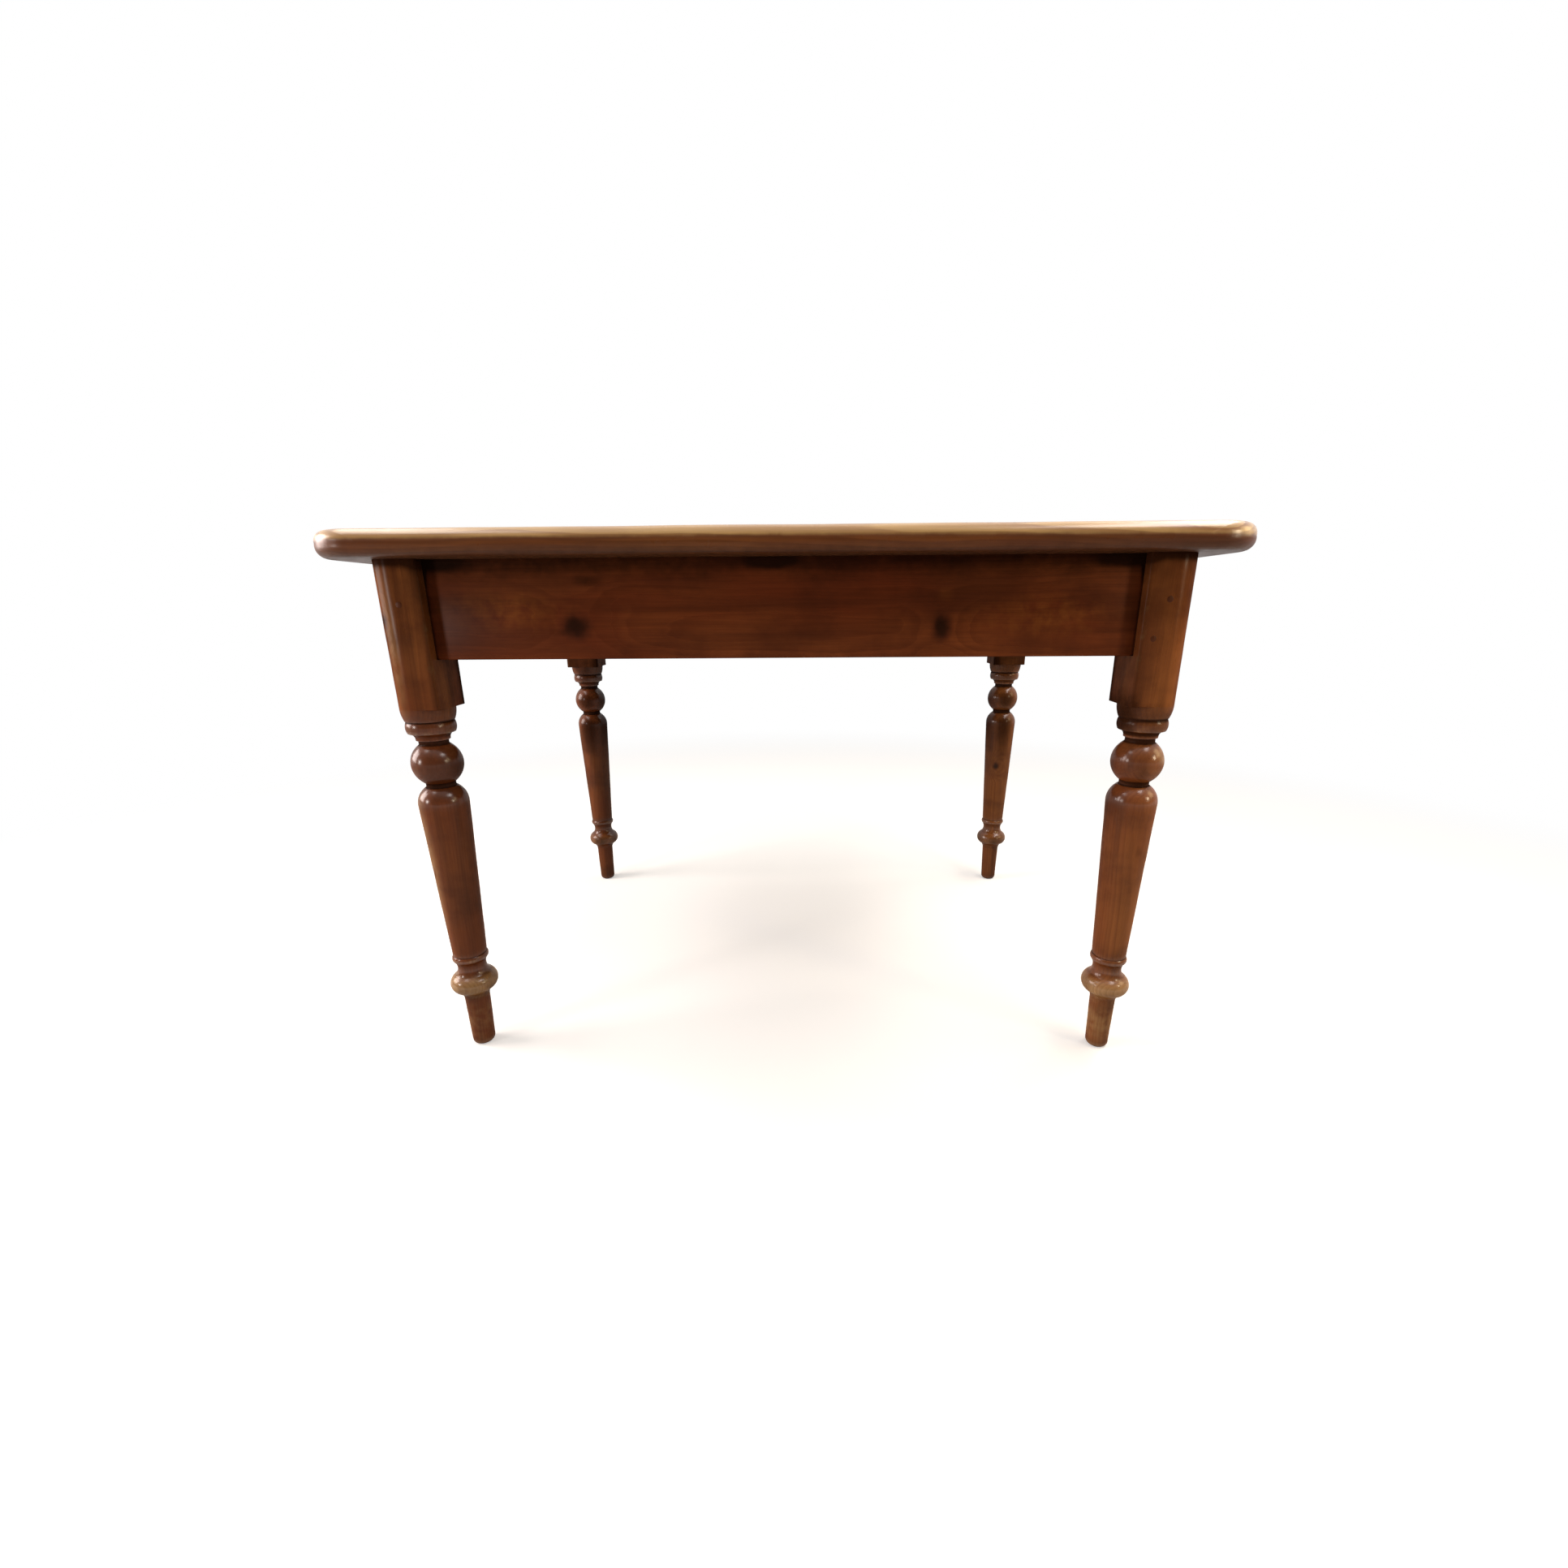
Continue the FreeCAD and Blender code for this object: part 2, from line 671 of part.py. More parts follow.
def board_offset(index):
    """From the middle board to a board, counted in boards."""
    return index - (int(number("board_count")) - 1) / 2


def bearer_screw_places():
    """Where the screws go through the bearers, one to each board."""
    z = f"{LEG_TOP} - bearer_height"
    return [
        (
            signed(side, BEARER_X),
            f"({board_offset(index)} * screw_spread_share * {BOARD_WIDTH})",
            z,
            "bearer_screw_length",
        )
        for side in (LEFT, RIGHT)
        for index in range(int(number("board_count")))
    ]


def make_screws(label, places):
    """Countersunk wood screws, each with a head, a shank and a point, pointing up."""
    shank = "screw_diameter / 2"
    solids = []
    for x, y, z, length in places:
        shank_foot = f"{z} + screw_head_height"
        point_foot = f"{z} + {length} - screw_tip_height"
        solids.append(new_cone("head", x, y, z, "screw_head_diameter / 2", shank, "screw_head_height"))
        shank_length = f"{length} - screw_head_height - screw_tip_height"
        solids.append(new_cylinder("shank", x, y, shank_foot, shank, shank_length))
        solids.append(new_cone("point", x, y, point_foot, shank, "0", "screw_tip_height"))
    return new_union(label, solids)


def make_screw_holes(places):
    """The holes for those screws, wider by the fit and as long as the screws."""
    shank = "screw_diameter / 2 + screw_fit"
    holes = []
    for x, y, z, length in places:
        holes.append(new_cylinder("bore", x, y, z, shank, f"{length} + screw_fit"))
        head = "screw_head_diameter / 2 + screw_fit"
        holes.append(new_cone("countersink", x, y, z, head, shank, "screw_head_height"))
    return new_union("screw_holes", holes)


# Buttons and bearers

def make_buttons(rail, screw_holes):
    """The wooden buttons along one apron, each with its tongue in a slot."""
    solids = []
    for offset in rail.button_offsets():
        x = f"{offset} - button_length / 2"
        solids.append(new_box(
            "button_body", x, "apron_thickness", "apron_height - button_height",
            "button_length", "button_reach", "button_height",
        ))
        solids.append(new_box(
            "button_tongue", x, "apron_thickness - button_tongue", "apron_height - button_height",
            "button_length", "button_tongue", "button_height - slot_drop",
        ))
    blanks = new_union(f"blank_buttons_{rail.name}", solids)
    rail.put(blanks)
    return new_cut(f"buttons_{rail.name}", blanks, screw_holes)


def make_bearer(side, screw_holes):
    """A cross bearer let into the front and back aprons under the boards."""
    label = f"bearer_{SIDE_NAMES[side]}"
    reach = f"({LONG_Y} - apron_thickness + bearer_housing)"
    blank = new_box(
        f"blank_{label}",
        f"{signed(side, BEARER_X)} - bearer_width / 2",
        f"-{reach}",
        f"{LEG_TOP} - bearer_height",
        "bearer_width",
        f"2 * {reach}",
        "bearer_height",
    )
    return new_cut(label, blank, screw_holes)


# The top

def round_edges(body, base, height, radius):
    """Rounds all the edges of the body that lie at one height."""
    names = []
    for index, edge in enumerate(base.Shape.Edges, start=1):
        above = edge.BoundBox.ZMax - height
        below = height - edge.BoundBox.ZMin
        if max(above, below) < HEIGHT_TOLERANCE:
            names.append(f"Edge{index}")
    fillet = body.newObject("PartDesign::Fillet", f"{body.Name}_round")
    fillet.Base = (base, names)
    fillet.setExpression("Radius", bound(radius))
    doc.recompute()
    return fillet


def make_top_blank():
    """The whole top as one piece, with rounded corners and edges, before it is divided."""
    body = new_body("top_blank")
    place(body, z=LEG_TOP)
    plan = new_sketch(body, "XY_Plane")
    x = "top_length / 2"
    y = "top_width / 2"
    x_flat = f"{x} - corner_radius"
    y_flat = f"{y} - corner_radius"
    draw_outline(plan, [
        (x, f"-({y_flat})", "corner_radius", 1),
        (x, y_flat),
        (x_flat, y, "corner_radius", 1),
        (f"-({x_flat})", y),
        (f"-({x})", y_flat, "corner_radius", 1),
        (f"-({x})", f"-({y_flat})"),
        (f"-({x_flat})", f"-({y})", "corner_radius", 1),
        (x_flat, f"-({y})"),
    ])
    block = pad(body, plan, "top_thickness")
    upper = round_edges(body, block, number("top_thickness"), "upper_round")
    round_edges(body, upper, 0, "lower_round")
    return body


def joint_y(index):
    """Y of the joint behind a board, counted from the front."""
    return f"({index + 1} * {BOARD_WIDTH} - top_width / 2)"


def new_tongue(label, index, room):
    """A loose tongue in the joint behind a board, or its groove where room is not zero."""
    half_length = f"(top_length / 2 - tongue_end_stop + {room})"
    half_width = f"(tongue_width / 2 + {room})"
    tongue = new_box(
        label,
        f"-{half_length}",
        f"{joint_y(index)} - {half_width}",
        f"{BOARD_MIDDLE} - tongue_thickness / 2",
        f"2 * {half_length}",
        f"2 * {half_width}",
        "tongue_thickness",
    )
    tongue.Label = label
    return tongue


def make_top(screw_holes):
    """The boards of the top and the loose tongues in their joints."""
    blank = make_top_blank()
    count = int(number("board_count"))
    grooves = [new_tongue(f"groove_{index + 1}", index, "groove_clearance") for index in range(count - 1)]
    cuts = doc.addObject("Part::Compound", "top_cuts")
    cuts.Links = grooves + [screw_holes]
    pieces = []
    for index in range(count):
        strip = new_box(
            f"strip_{index + 1}",
            "-top_length / 2",
            f"{index} * {BOARD_WIDTH} - top_width / 2",
            LEG_TOP,
            "top_length",
            BOARD_WIDTH,
            "top_thickness",
        )
        board = doc.addObject("Part::Common", f"blank_board_{index + 1}")
        board.Base = blank
        board.Tool = strip
        pieces.append(new_cut(f"top_board_{index + 1}", board, cuts))
    for index in range(count - 1):
        pieces.append(new_tongue(f"top_tongue_{index + 1}", index, "0"))
    return pieces


# The whole table

def make_table():
    """Makes every piece and returns those that are written out."""
    corners = [(side, depth) for depth in (FRONT, BACK) for side in (LEFT, RIGHT)]
    button_places = button_screw_places()
    bearer_places = bearer_screw_places()
    screw_holes = make_screw_holes(button_places + bearer_places)
    pieces = [make_leg(side, depth) for side, depth in corners]
    pieces += [make_apron(rail) for rail in RAILS]
    pieces += [make_pegs(rail) for rail in RAILS]
    pieces += [
        make_glue_block(side, depth, on_long_apron)
        for side, depth in corners
        for on_long_apron in (True, False)
    ]
    pieces += [make_buttons(rail, screw_holes) for rail in RAILS]
    pieces += [make_bearer(side, screw_holes) for side in (LEFT, RIGHT)]
    pieces += make_top(screw_holes)
    pieces.append(make_screws("button_screws", button_places))
    pieces.append(make_screws("bearer_screws", bearer_places))
    doc.recompute()
    return pieces


def check(pieces):
    """Stops where an object failed or a piece has no valid solid."""
    for item in doc.Objects:
        if "Invalid" in item.State or "Error" in item.State:
            raise RuntimeError(f"{item.Label} did not build: {item.State}")
    for piece in pieces:
        if piece.Shape.isNull() or not piece.Shape.isValid() or not piece.Shape.Solids:
            raise RuntimeError(f"{piece.Label} has no valid shape")


table = make_table()
check(table)
os.makedirs("parts", exist_ok=True)
for piece in table:
    piece.Shape.exportStep(f"parts/{piece.Label}.step")
    print(f"{piece.Label}: {len(piece.Shape.Solids)} solids, {piece.Shape.Volume:.0f} mm3")
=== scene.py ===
import logging
import math
from dataclasses import dataclass, replace
from enum import Enum

import bpy
import numpy as np
from mathutils import Euler, Matrix, Vector


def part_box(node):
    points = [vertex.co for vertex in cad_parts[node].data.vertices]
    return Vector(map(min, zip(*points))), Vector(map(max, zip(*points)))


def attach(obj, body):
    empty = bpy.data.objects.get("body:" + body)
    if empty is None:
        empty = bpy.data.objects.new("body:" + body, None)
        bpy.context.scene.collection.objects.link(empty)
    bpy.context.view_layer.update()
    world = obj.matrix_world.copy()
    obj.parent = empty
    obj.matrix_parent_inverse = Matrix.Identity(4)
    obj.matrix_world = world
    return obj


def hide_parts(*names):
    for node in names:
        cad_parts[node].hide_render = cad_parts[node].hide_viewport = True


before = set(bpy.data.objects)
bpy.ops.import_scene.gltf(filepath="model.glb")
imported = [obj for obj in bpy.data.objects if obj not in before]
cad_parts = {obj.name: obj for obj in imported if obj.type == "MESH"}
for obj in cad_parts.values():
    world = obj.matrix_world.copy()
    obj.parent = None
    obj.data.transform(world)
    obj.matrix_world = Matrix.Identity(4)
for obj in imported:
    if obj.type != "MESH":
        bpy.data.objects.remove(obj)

# Looks of an old kitchen table of stained and waxed pine: four turned legs, four aprons, and a
# top of five boards. Metres, with the origin on the floor under the middle of the top.
# X runs along the table, Y from its front to its back, and Z up. Left is towards -X.

LOG = logging.getLogger("kitchen_table")
ROOT = "root"
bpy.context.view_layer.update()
TABLE_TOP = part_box("top_board_1")[1].z
TABLE_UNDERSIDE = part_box("top_board_1")[0].z

Socket = bpy.types.NodeSocket
Colour = tuple[float, float, float, float]
Triple = tuple[float, float, float]
WHITE: Colour = (1.0, 1.0, 1.0, 1.0)


def stain(red: int, green: int, blue: int) -> Colour:
    """A colour from its three parts as they are seen on a screen.

    Args:
        red: from 0 to 255.
        green: from 0 to 255.
        blue: from 0 to 255.

    Returns:
        The same colour as the shader wants it, opaque.
    """
    parts = []
    for part in (red, green, blue):
        share = part / 255
        parts.append(share / 12.92 if share <= 0.04045 else ((share + 0.055) / 1.055) ** 2.4)
    return (parts[0], parts[1], parts[2], 1.0)


# Surfaces from arrays of points

class Unevenness:
    """A smooth random field in space, which hand work and long use leave on a surface.

    It is a sum of plane waves with random directions and phases, and its values lie mostly
    between -1 and 1.
    """

    def __init__(self, seed: int, wavelength: float, waves: int = 20) -> None:
        """Draws the waves.

        Args:
            seed: number that the drawing starts from.
            wavelength: distance from one swelling to the next.
            waves: how many waves are added up.
        """
        draw = np.random.default_rng(seed)
        directions = draw.normal(size=(waves, 3))
        directions /= np.linalg.norm(directions, axis=1, keepdims=True)
        lengths = wavelength * draw.uniform(0.6, 1.8, size=(waves, 1))
        self.waves = directions * math.tau / lengths
        self.phases = draw.uniform(0, math.tau, size=waves)

    def at(self, points: np.ndarray) -> np.ndarray:
        """The field's value at each point."""
        total = np.sin(points @ self.waves.T + self.phases).sum(axis=-1)
        return total / math.sqrt(len(self.phases))

    def dents(self, points: np.ndarray, threshold: float, depth: float) -> np.ndarray:
        """Depths of scattered dents, where the field rises past a threshold."""
        return share_of(self.at(points) - threshold, 1.0) * depth


@dataclass
class Surface:
    """A closed surface on a grid of rows and columns, whose columns go round."""

    points: np.ndarray
    marks: dict[str, np.ndarray]

    def faces(self) -> list[list[int]]:
        """Quads between the rows, and a fan of triangles to the middle of each end row."""
        rows, columns = self.points.shape[:2]
        index = np.arange(rows * columns).reshape(rows, columns)
        following = np.roll(index, -1, axis=1)
        quads = np.stack([index[:-1], following[:-1], following[1:], index[1:]], axis=-1)
        first = np.full(columns, rows * columns)
        last = np.full(columns, rows * columns + 1)
        low_fan = np.stack([following[0], index[0], first], axis=-1)
        high_fan = np.stack([index[-1], following[-1], last], axis=-1)
        return quads.reshape(-1, 4).tolist() + low_fan.tolist() + high_fan.tolist()

    def vertices(self) -> np.ndarray:
        """All points in one list, with the middles of the two end rows last."""
        ends = np.stack([self.points[0].mean(axis=0), self.points[-1].mean(axis=0)])
        return np.concatenate([self.points.reshape(-1, 3), ends])

    def mark(self, name: str) -> np.ndarray:
        """One mark at every vertex, in the vertices' order."""
        values = np.broadcast_to(self.marks[name], self.points.shape[:2])
        ends = [values[0].mean(), values[-1].mean()]
        return np.concatenate([values.reshape(-1), ends])


def smoothed(line: np.ndarray, kernel: np.ndarray) -> np.ndarray:
    """Running mean of a line under a kernel of odd length, with the line's ends held."""
    padded = np.pad(line, len(kernel) // 2, mode="edge")
    return np.convolve(padded, kernel / kernel.sum(), mode="valid")


def eased_down(values: np.ndarray) -> np.ndarray:
    """One at zero, falling away from it as a bell."""
    return np.exp(-(values ** 2))


def share_of(values: np.ndarray, full: float, most: float = 1.0) -> np.ndarray:
    """Values as a share of the full one, from 0 to the most that counts."""
    return np.clip(values / full, 0.0, most)


def put_mesh(name: str, vertices: np.ndarray, faces: list[list[int]]) -> bpy.types.Object:
    """Makes an object of vertices and faces.

    Args:
        name: the object's name.
        vertices: one row of three coordinates for each vertex.
        faces: the vertices of each face, in turn as seen from outside.

    Returns:
        The object, linked to the scene.
    """
    mesh = bpy.data.meshes.new(name)
    mesh.from_pydata(vertices.tolist(), [], faces)
    made = bpy.data.objects.new(name, mesh)
    bpy.context.scene.collection.objects.link(made)
    return made


def put_marks(piece: bpy.types.Object, marks: dict[str, np.ndarray]) -> None:
    """Stores a value at each vertex under each mark's name, for the finishes to read."""
    for name, values in marks.items():
        layer = piece.data.attributes.new(name, "FLOAT", "POINT")
        layer.data.foreach_set("value", np.ascontiguousarray(values, dtype=np.float32))


def press_in(piece: bpy.types.Object, depths: np.ndarray) -> None:
    """Moves each vertex against its normal by its depth."""
    mesh = piece.data
    places = np.empty(len(mesh.vertices) * 3, dtype=np.float32)
    normals = np.empty(len(mesh.vertices) * 3, dtype=np.float32)
    mesh.vertices.foreach_get("co", places)
    mesh.vertex_normals.foreach_get("vector", normals)
    moved = places.reshape(-1, 3) - normals.reshape(-1, 3) * depths[:, None]
    mesh.vertices.foreach_set("co", moved.astype(np.float32).ravel())
    mesh.update()


def smooth_shading(piece: bpy.types.Object, crease_degrees: float) -> None:
    """Shades a piece smooth except at edges sharper than the given angle."""
    piece.data.shade_smooth()
    piece.data.set_sharp_from_angle(angle=math.radians(crease_degrees))


def settle(
    piece: bpy.types.Object, finish: bpy.types.Material, replaced: list[str]
) -> None:
    """Gives a new piece its finish and its place in the table.

    Args:
        piece: the finished object.
        finish: its material.
        replaced: the nodes that it stands for.
    """
    piece.data.materials.append(finish)
    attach(piece, ROOT)
    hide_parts(*replaced)
    LOG.info("%s: %d faces", piece.name, len(piece.data.polygons))


# Finishes

class Pattern(Enum):
    """Random patterns of a finish: swellings per metre along three axes, and their detail.

    The first five follow the grain, with X along it. The others lie in the table's own axes.
    """

    RING_SWAY = ((1.7, 8.0, 8.0), 2.0)
    RING_RIPPLE = ((8.0, 90.0, 90.0), 2.0)
    FIBRE = ((11.0, 900.0, 900.0), 3.0)
    STREAK = ((1.8, 55.0, 55.0), 3.0)
    CLOUD = ((3.0, 10.0, 10.0), 2.0)
    BLOTCH = ((9.0, 9.0, 14.0), 4.0)
    SCUFF = ((60.0, 60.0, 60.0), 4.0)
    HOLLOW = ((16.0, 16.0, 16.0), 1.0)
    KNOT_RIM = ((70.0, 70.0, 70.0), 1.0)
    RUST = ((900.0, 900.0, 900.0), 4.0)


class NodeBench:
    """Adds the nodes of one material, or of the world, and joins them."""

    def __init__(self, owner: bpy.types.Material | bpy.types.World) -> None:
        """Empties the owner's nodes to start afresh."""
        owner.use_nodes = True
        self.owner = owner
        self.tree = owner.node_tree
        self.tree.nodes.clear()

    def feed(self, socket: Socket, value: object) -> None:
        """Joins a socket to another one, or sets it."""
        if isinstance(value, Socket):
            self.tree.links.new(value, socket)
        else:
            socket.default_value = value

    def node(self, kind: str, inputs: dict[str | int, object], **settings: object) -> bpy.types.Node:
        """Adds a node.

        Args:
            kind: Blender's name for the node's type.
            inputs: values or sockets by the input's name or number.
            **settings: the node's own properties.

        Returns:
            The node.
        """
        made = self.tree.nodes.new(kind)
        for name, value in settings.items():
            setattr(made, name, value)
        for key, value in inputs.items():
            self.feed(made.inputs[key], value)
        return made

    def step(self, operation: str, first: object, second: object = 0.0, third: object = 0.0) -> Socket:
        """One step of arithmetic on numbers."""
        inputs = {0: first, 1: second, 2: third}
        return self.node("ShaderNodeMath", inputs, operation=operation).outputs[0]

    def total(self, start: object, *parts: tuple[object, float]) -> Socket:
        """A start, plus each part times its weight."""
        for part, weight in parts:
            start = self.step("MULTIPLY_ADD", part, weight, start)
        return start

    def vector(self, operation: str, first: object, second: object = (0, 0, 0)) -> Socket:
        """One step of arithmetic on vectors."""
        made = self.node("ShaderNodeVectorMath", {0: first, 1: second}, operation=operation)
        return made.outputs["Value" if operation in ("LENGTH", "DOT_PRODUCT") else "Vector"]

    def scaled(self, colour: Socket, tone: Socket) -> Socket:
        """A colour made lighter or darker by a factor."""
        inputs = {0: colour, "Scale": tone}
        return self.node("ShaderNodeVectorMath", inputs, operation="SCALE").outputs["Vector"]

    def span(self, value: Socket, low: float, high: float, at_low: float, at_high: float) -> Socket:
        """Eases from one value to another while its input goes from low to high."""
        inputs = {
            "Value": value,
            "From Min": low,
            "From Max": high,
            "To Min": at_low,
            "To Max": at_high,
        }
        return self.node("ShaderNodeMapRange", inputs, interpolation_type="SMOOTHSTEP").outputs[0]

    def blend(self, share: object, first: object, second: object) -> Socket:
        """Mixes two colours: all of the first at share 0, all of the second at share 1."""
        inputs = {0: share, 6: first, 7: second}
        return self.node("ShaderNodeMix", inputs, data_type="RGBA").outputs[2]

    def layer(self, share: Socket, first: Socket, second: Socket) -> Socket:
        """Mixes two surfaces: all of the first at share 0, all of the second at share 1."""
        return self.node("ShaderNodeMixShader", {0: share, 1: first, 2: second}).outputs[0]

    def shown(self) -> Socket:
        """One for the camera's own rays and for those mirrored or let through, else zero."""
        path = self.node("ShaderNodeLightPath", {}).outputs
        mirrored = self.step("MAXIMUM", path["Is Glossy Ray"], path["Is Transmission Ray"])
        return self.step("MAXIMUM", path["Is Camera Ray"], mirrored)

    def noise(self, where: Socket, pattern: Pattern) -> Socket:
        """A random field from 0 to 1, stretched and detailed as the pattern says."""
        stretch, detail = pattern.value
        scaled = self.vector("MULTIPLY", where, stretch)
        inputs = {"Vector": scaled, "Scale": 1.0, "Detail": detail, "Roughness": 0.55}
        return self.node("ShaderNodeTexNoise", inputs).outputs[0]

    def eggs(self, where: Socket, place: Triple, reach: Triple) -> Socket:
        """Distance from a place, in units of an egg's three half lengths."""
        apart = self.vector("SUBTRACT", where, place)
        return self.vector("LENGTH", self.vector("DIVIDE", apart, reach))

    def mark(self, name: str) -> Socket:
        """A mark that a piece's vertices carry, zero where they have none."""
        return self.node("ShaderNodeAttribute", {}, attribute_name=name).outputs["Fac"]


class Grain(Enum):
    """Which way the grain of a piece runs, as the turn that lays X along it."""

    ALONG_X = (0.0, 0.0, 0.0)
    ALONG_Y = (0.0, 0.0, math.pi / 2)
    ALONG_Z = (0.0, -math.pi / 2, 0.0)


class Axis(Enum):
    """One of the three axes of the table."""

    X = 0
    Y = 1
    Z = 2


class Trace(Enum):
    """What use and time leave on wood, and the light and shade painted on it with the same colours."""

    WEAR = "wear"
    GRIME = "grime"


@dataclass(frozen=True)
class Knot:
    """A knot, as a branch that runs straight through the piece."""

    place: Triple
    reach: Triple
    push: float = 3.0


@dataclass(frozen=True)
class Patch:
    """A patch of the worn or the dark colour, shaped as an egg with a ragged skin: real rubbing and soiling,
    and in some places painted light and shade.
    """

    trace: Trace
    place: Triple
    reach: Triple
    strength: float


@dataclass(frozen=True)
class Border:
    """The worn or the dark colour along a flat border of a piece, fading away from it: mostly painted shade
    in creases and under the top, and on a leg's outer side partly painted light.
    """

    trace: Trace
    axis: Axis
    place: float
    reach: float
    strength: float


@dataclass(frozen=True)
class Sawing:
    """How one piece was cut from its tree, what it has been through since, and the light and shade painted
    on it.
    """

    grain: Grain
    heart: Triple
    lean: tuple[float, float] = (0.0, 0.0)
    knots: tuple[Knot, ...] = ()
    patches: tuple[Patch, ...] = ()
    borders: tuple[Border, ...] = ()
    tone: float = 1.0
    redness: float = 0.0


@dataclass(frozen=True)
class Wood:
    """The patterns in one piece of wood, late wood and the distance from its knots with them."""

    late: Socket
    knot_distance: Socket
    fibre: Socket
    blotch: Socket
    scuff: Socket


@dataclass(frozen=True)
class WoodFinish:
    """Pine with growth rings, fibres and knots under stain and wax.

    The rings are shells about the tree's heart line, so they show as long curved figures on
    a board's face and as arcs on its end.
    """

    name: str
    early: Colour
    late: Colour
    deep: Colour
    red: Colour
    worn: Colour
    worn_late: Colour
    # The dark colour of soiling, also laid on as painted shade.
    grime: Colour
    knot: Colour
    bare: Colour
    ring_spacing: float = 0.0042
    ring_sway: float = 7.0
    ring_ripple: float = 0.45
    ring_share: float = 0.5
    worn_ring_share: float = 0.6
    blotch_share: float = 0.6
    ring_contrast: float = 0.12
    fibre_contrast: float = 0.45
    roughness: float = 0.34
    gloss: float = 0.1
    relief: float = 0.3
    relief_height: float = 0.0006
    raggedness: float = 0.9
    patch_raggedness: float = 1.8
    coat_roughness: float = 0.27
    coat_index: float = 1.75
    knot_softness: float = 1.0
    knot_raggedness: float = 0.7
    knots_from_afar: float = 9.0

    def grain_place(self, bench: NodeBench, place: Socket, sawing: Sawing) -> Socket:
        """Place seen from the tree's heart line, which lies along X."""
        turn = sawing.grain.value
        rotation = (turn[0], turn[1] + sawing.lean[0], turn[2] + sawing.lean[1])
        inputs = {"Vector": place, "Location": sawing.heart, "Rotation": rotation}
        return bench.node("ShaderNodeMapping", inputs, vector_type="TEXTURE").outputs[0]

    def knot_fields(self, bench: NodeBench, place: Socket, sawing: Sawing) -> tuple[Socket, Socket]:
        """How near the knots are, in knot radii, and how far they push the rings aside."""
        near = bench.step("ADD", self.knots_from_afar)
        push = bench.step("ADD", 0.0)
        wobble = bench.noise(place, Pattern.KNOT_RIM) if sawing.knots else None
        for knot in sawing.knots:
            reach = bench.total(bench.eggs(place, knot.place, knot.reach), (wobble, self.knot_raggedness))
            reach = bench.step("SUBTRACT", reach, self.knot_raggedness / 2)
            near = bench.step("MINIMUM", near, reach)
            push = bench.step("ADD", push, bench.span(reach, 0.5, 5.5, knot.push, 0.0))
        return near, push

    def trace(self, bench: NodeBench, place: Socket, sawing: Sawing, kind: Trace, ragged: Socket) -> Socket:
        """How much of the worn colour or of the dark colour lies at a place, as rubbing and soiling and as
        painted light and shade.

        It is the mark on the mesh, plus every border's strength fading out over its reach, plus
        every patch's strength fading out from a fifth of its egg to nearly twice its size.
        """
        total = bench.mark(kind.value)
        parts = bench.node("ShaderNodeSeparateXYZ", {0: place}).outputs
        for border in sawing.borders:
            if border.trace is kind:
                away = bench.step("ABSOLUTE", bench.step("SUBTRACT", parts[border.axis.value], border.place))
                total = bench.step("ADD", total, bench.span(away, 0.0, border.reach, border.strength, 0.0))
        for patch in sawing.patches:
            if patch.trace is kind:
                egg = bench.eggs(place, patch.place, patch.reach)
                reach = bench.total(egg, (ragged, self.patch_raggedness))
                total = bench.step("ADD", total, bench.span(reach, 0.2, 1.9, patch.strength, 0.0))
        return total

    def figure(self, bench: NodeBench, along: Socket, push: Socket) -> tuple[Socket, Socket]:
        """The growth rings: how much of the dark late wood shows, and each ring's own tone.

        The distance from the heart line, in ring spacings, is swayed, rippled and pushed by
        knots. Its whole part numbers the ring, and its fraction is the way across it: late
        wood comes on slowly and ends at once.
        """
        radius = bench.vector("LENGTH", bench.vector("MULTIPLY", along, (0.0, 1.0, 1.0)))
        sway = bench.noise(along, Pattern.RING_SWAY)
        ripple = bench.noise(along, Pattern.RING_RIPPLE)
        moves = ((radius, 1 / self.ring_spacing), (sway, self.ring_sway), (ripple, self.ring_ripple))
        across = bench.total(push, *moves)
        ring = bench.step("FRACT", across)
        number = {"W": bench.step("FLOOR", across)}
        tone = bench.node("ShaderNodeTexWhiteNoise", number, noise_dimensions="1D").outputs[0]
        coming = bench.span(ring, 0.15, 0.88, 0.0, 1.0)
        late = bench.step("MULTIPLY", coming, bench.span(ring, 0.9, 1.0, 1.0, 0.0))
        return bench.step("MULTIPLY", late, bench.total(0.3, (tone, 0.7))), tone

    def stained(self, bench: NodeBench, along: Socket, wood: Wood, redness: float) -> Socket:
        """Rings under a stain that is redder in clouds and deeper in streaks and blotches."""
        colour = bench.blend(bench.step("MULTIPLY", wood.late, self.ring_share), self.early, self.late)
        layers = (
            (bench.noise(along, Pattern.CLOUD), 0.35 - redness, 0.7, 0.75, self.red),
            (bench.noise(along, Pattern.STREAK), 0.35, 0.75, 0.55, self.deep),
            (wood.blotch, 0.4, 0.7, self.blotch_share, self.deep),
        )
        for pattern, low, high, most, tint in layers:
            colour = bench.blend(bench.span(pattern, low, high, 0.0, most), colour, tint)
        return colour

    def worn_through(self, bench: NodeBench, wood: Wood) -> Socket:
        """Paler rings where the stain has gone, still dark in the deepest blotches."""
        rings = bench.step("MULTIPLY", wood.late, self.worn_ring_share)
        blotches = bench.span(wood.blotch, 0.45, 0.75, 0.0, 0.75 * self.blotch_share)
        return bench.blend(blotches, bench.blend(rings, self.worn, self.worn_late), self.worn_late)

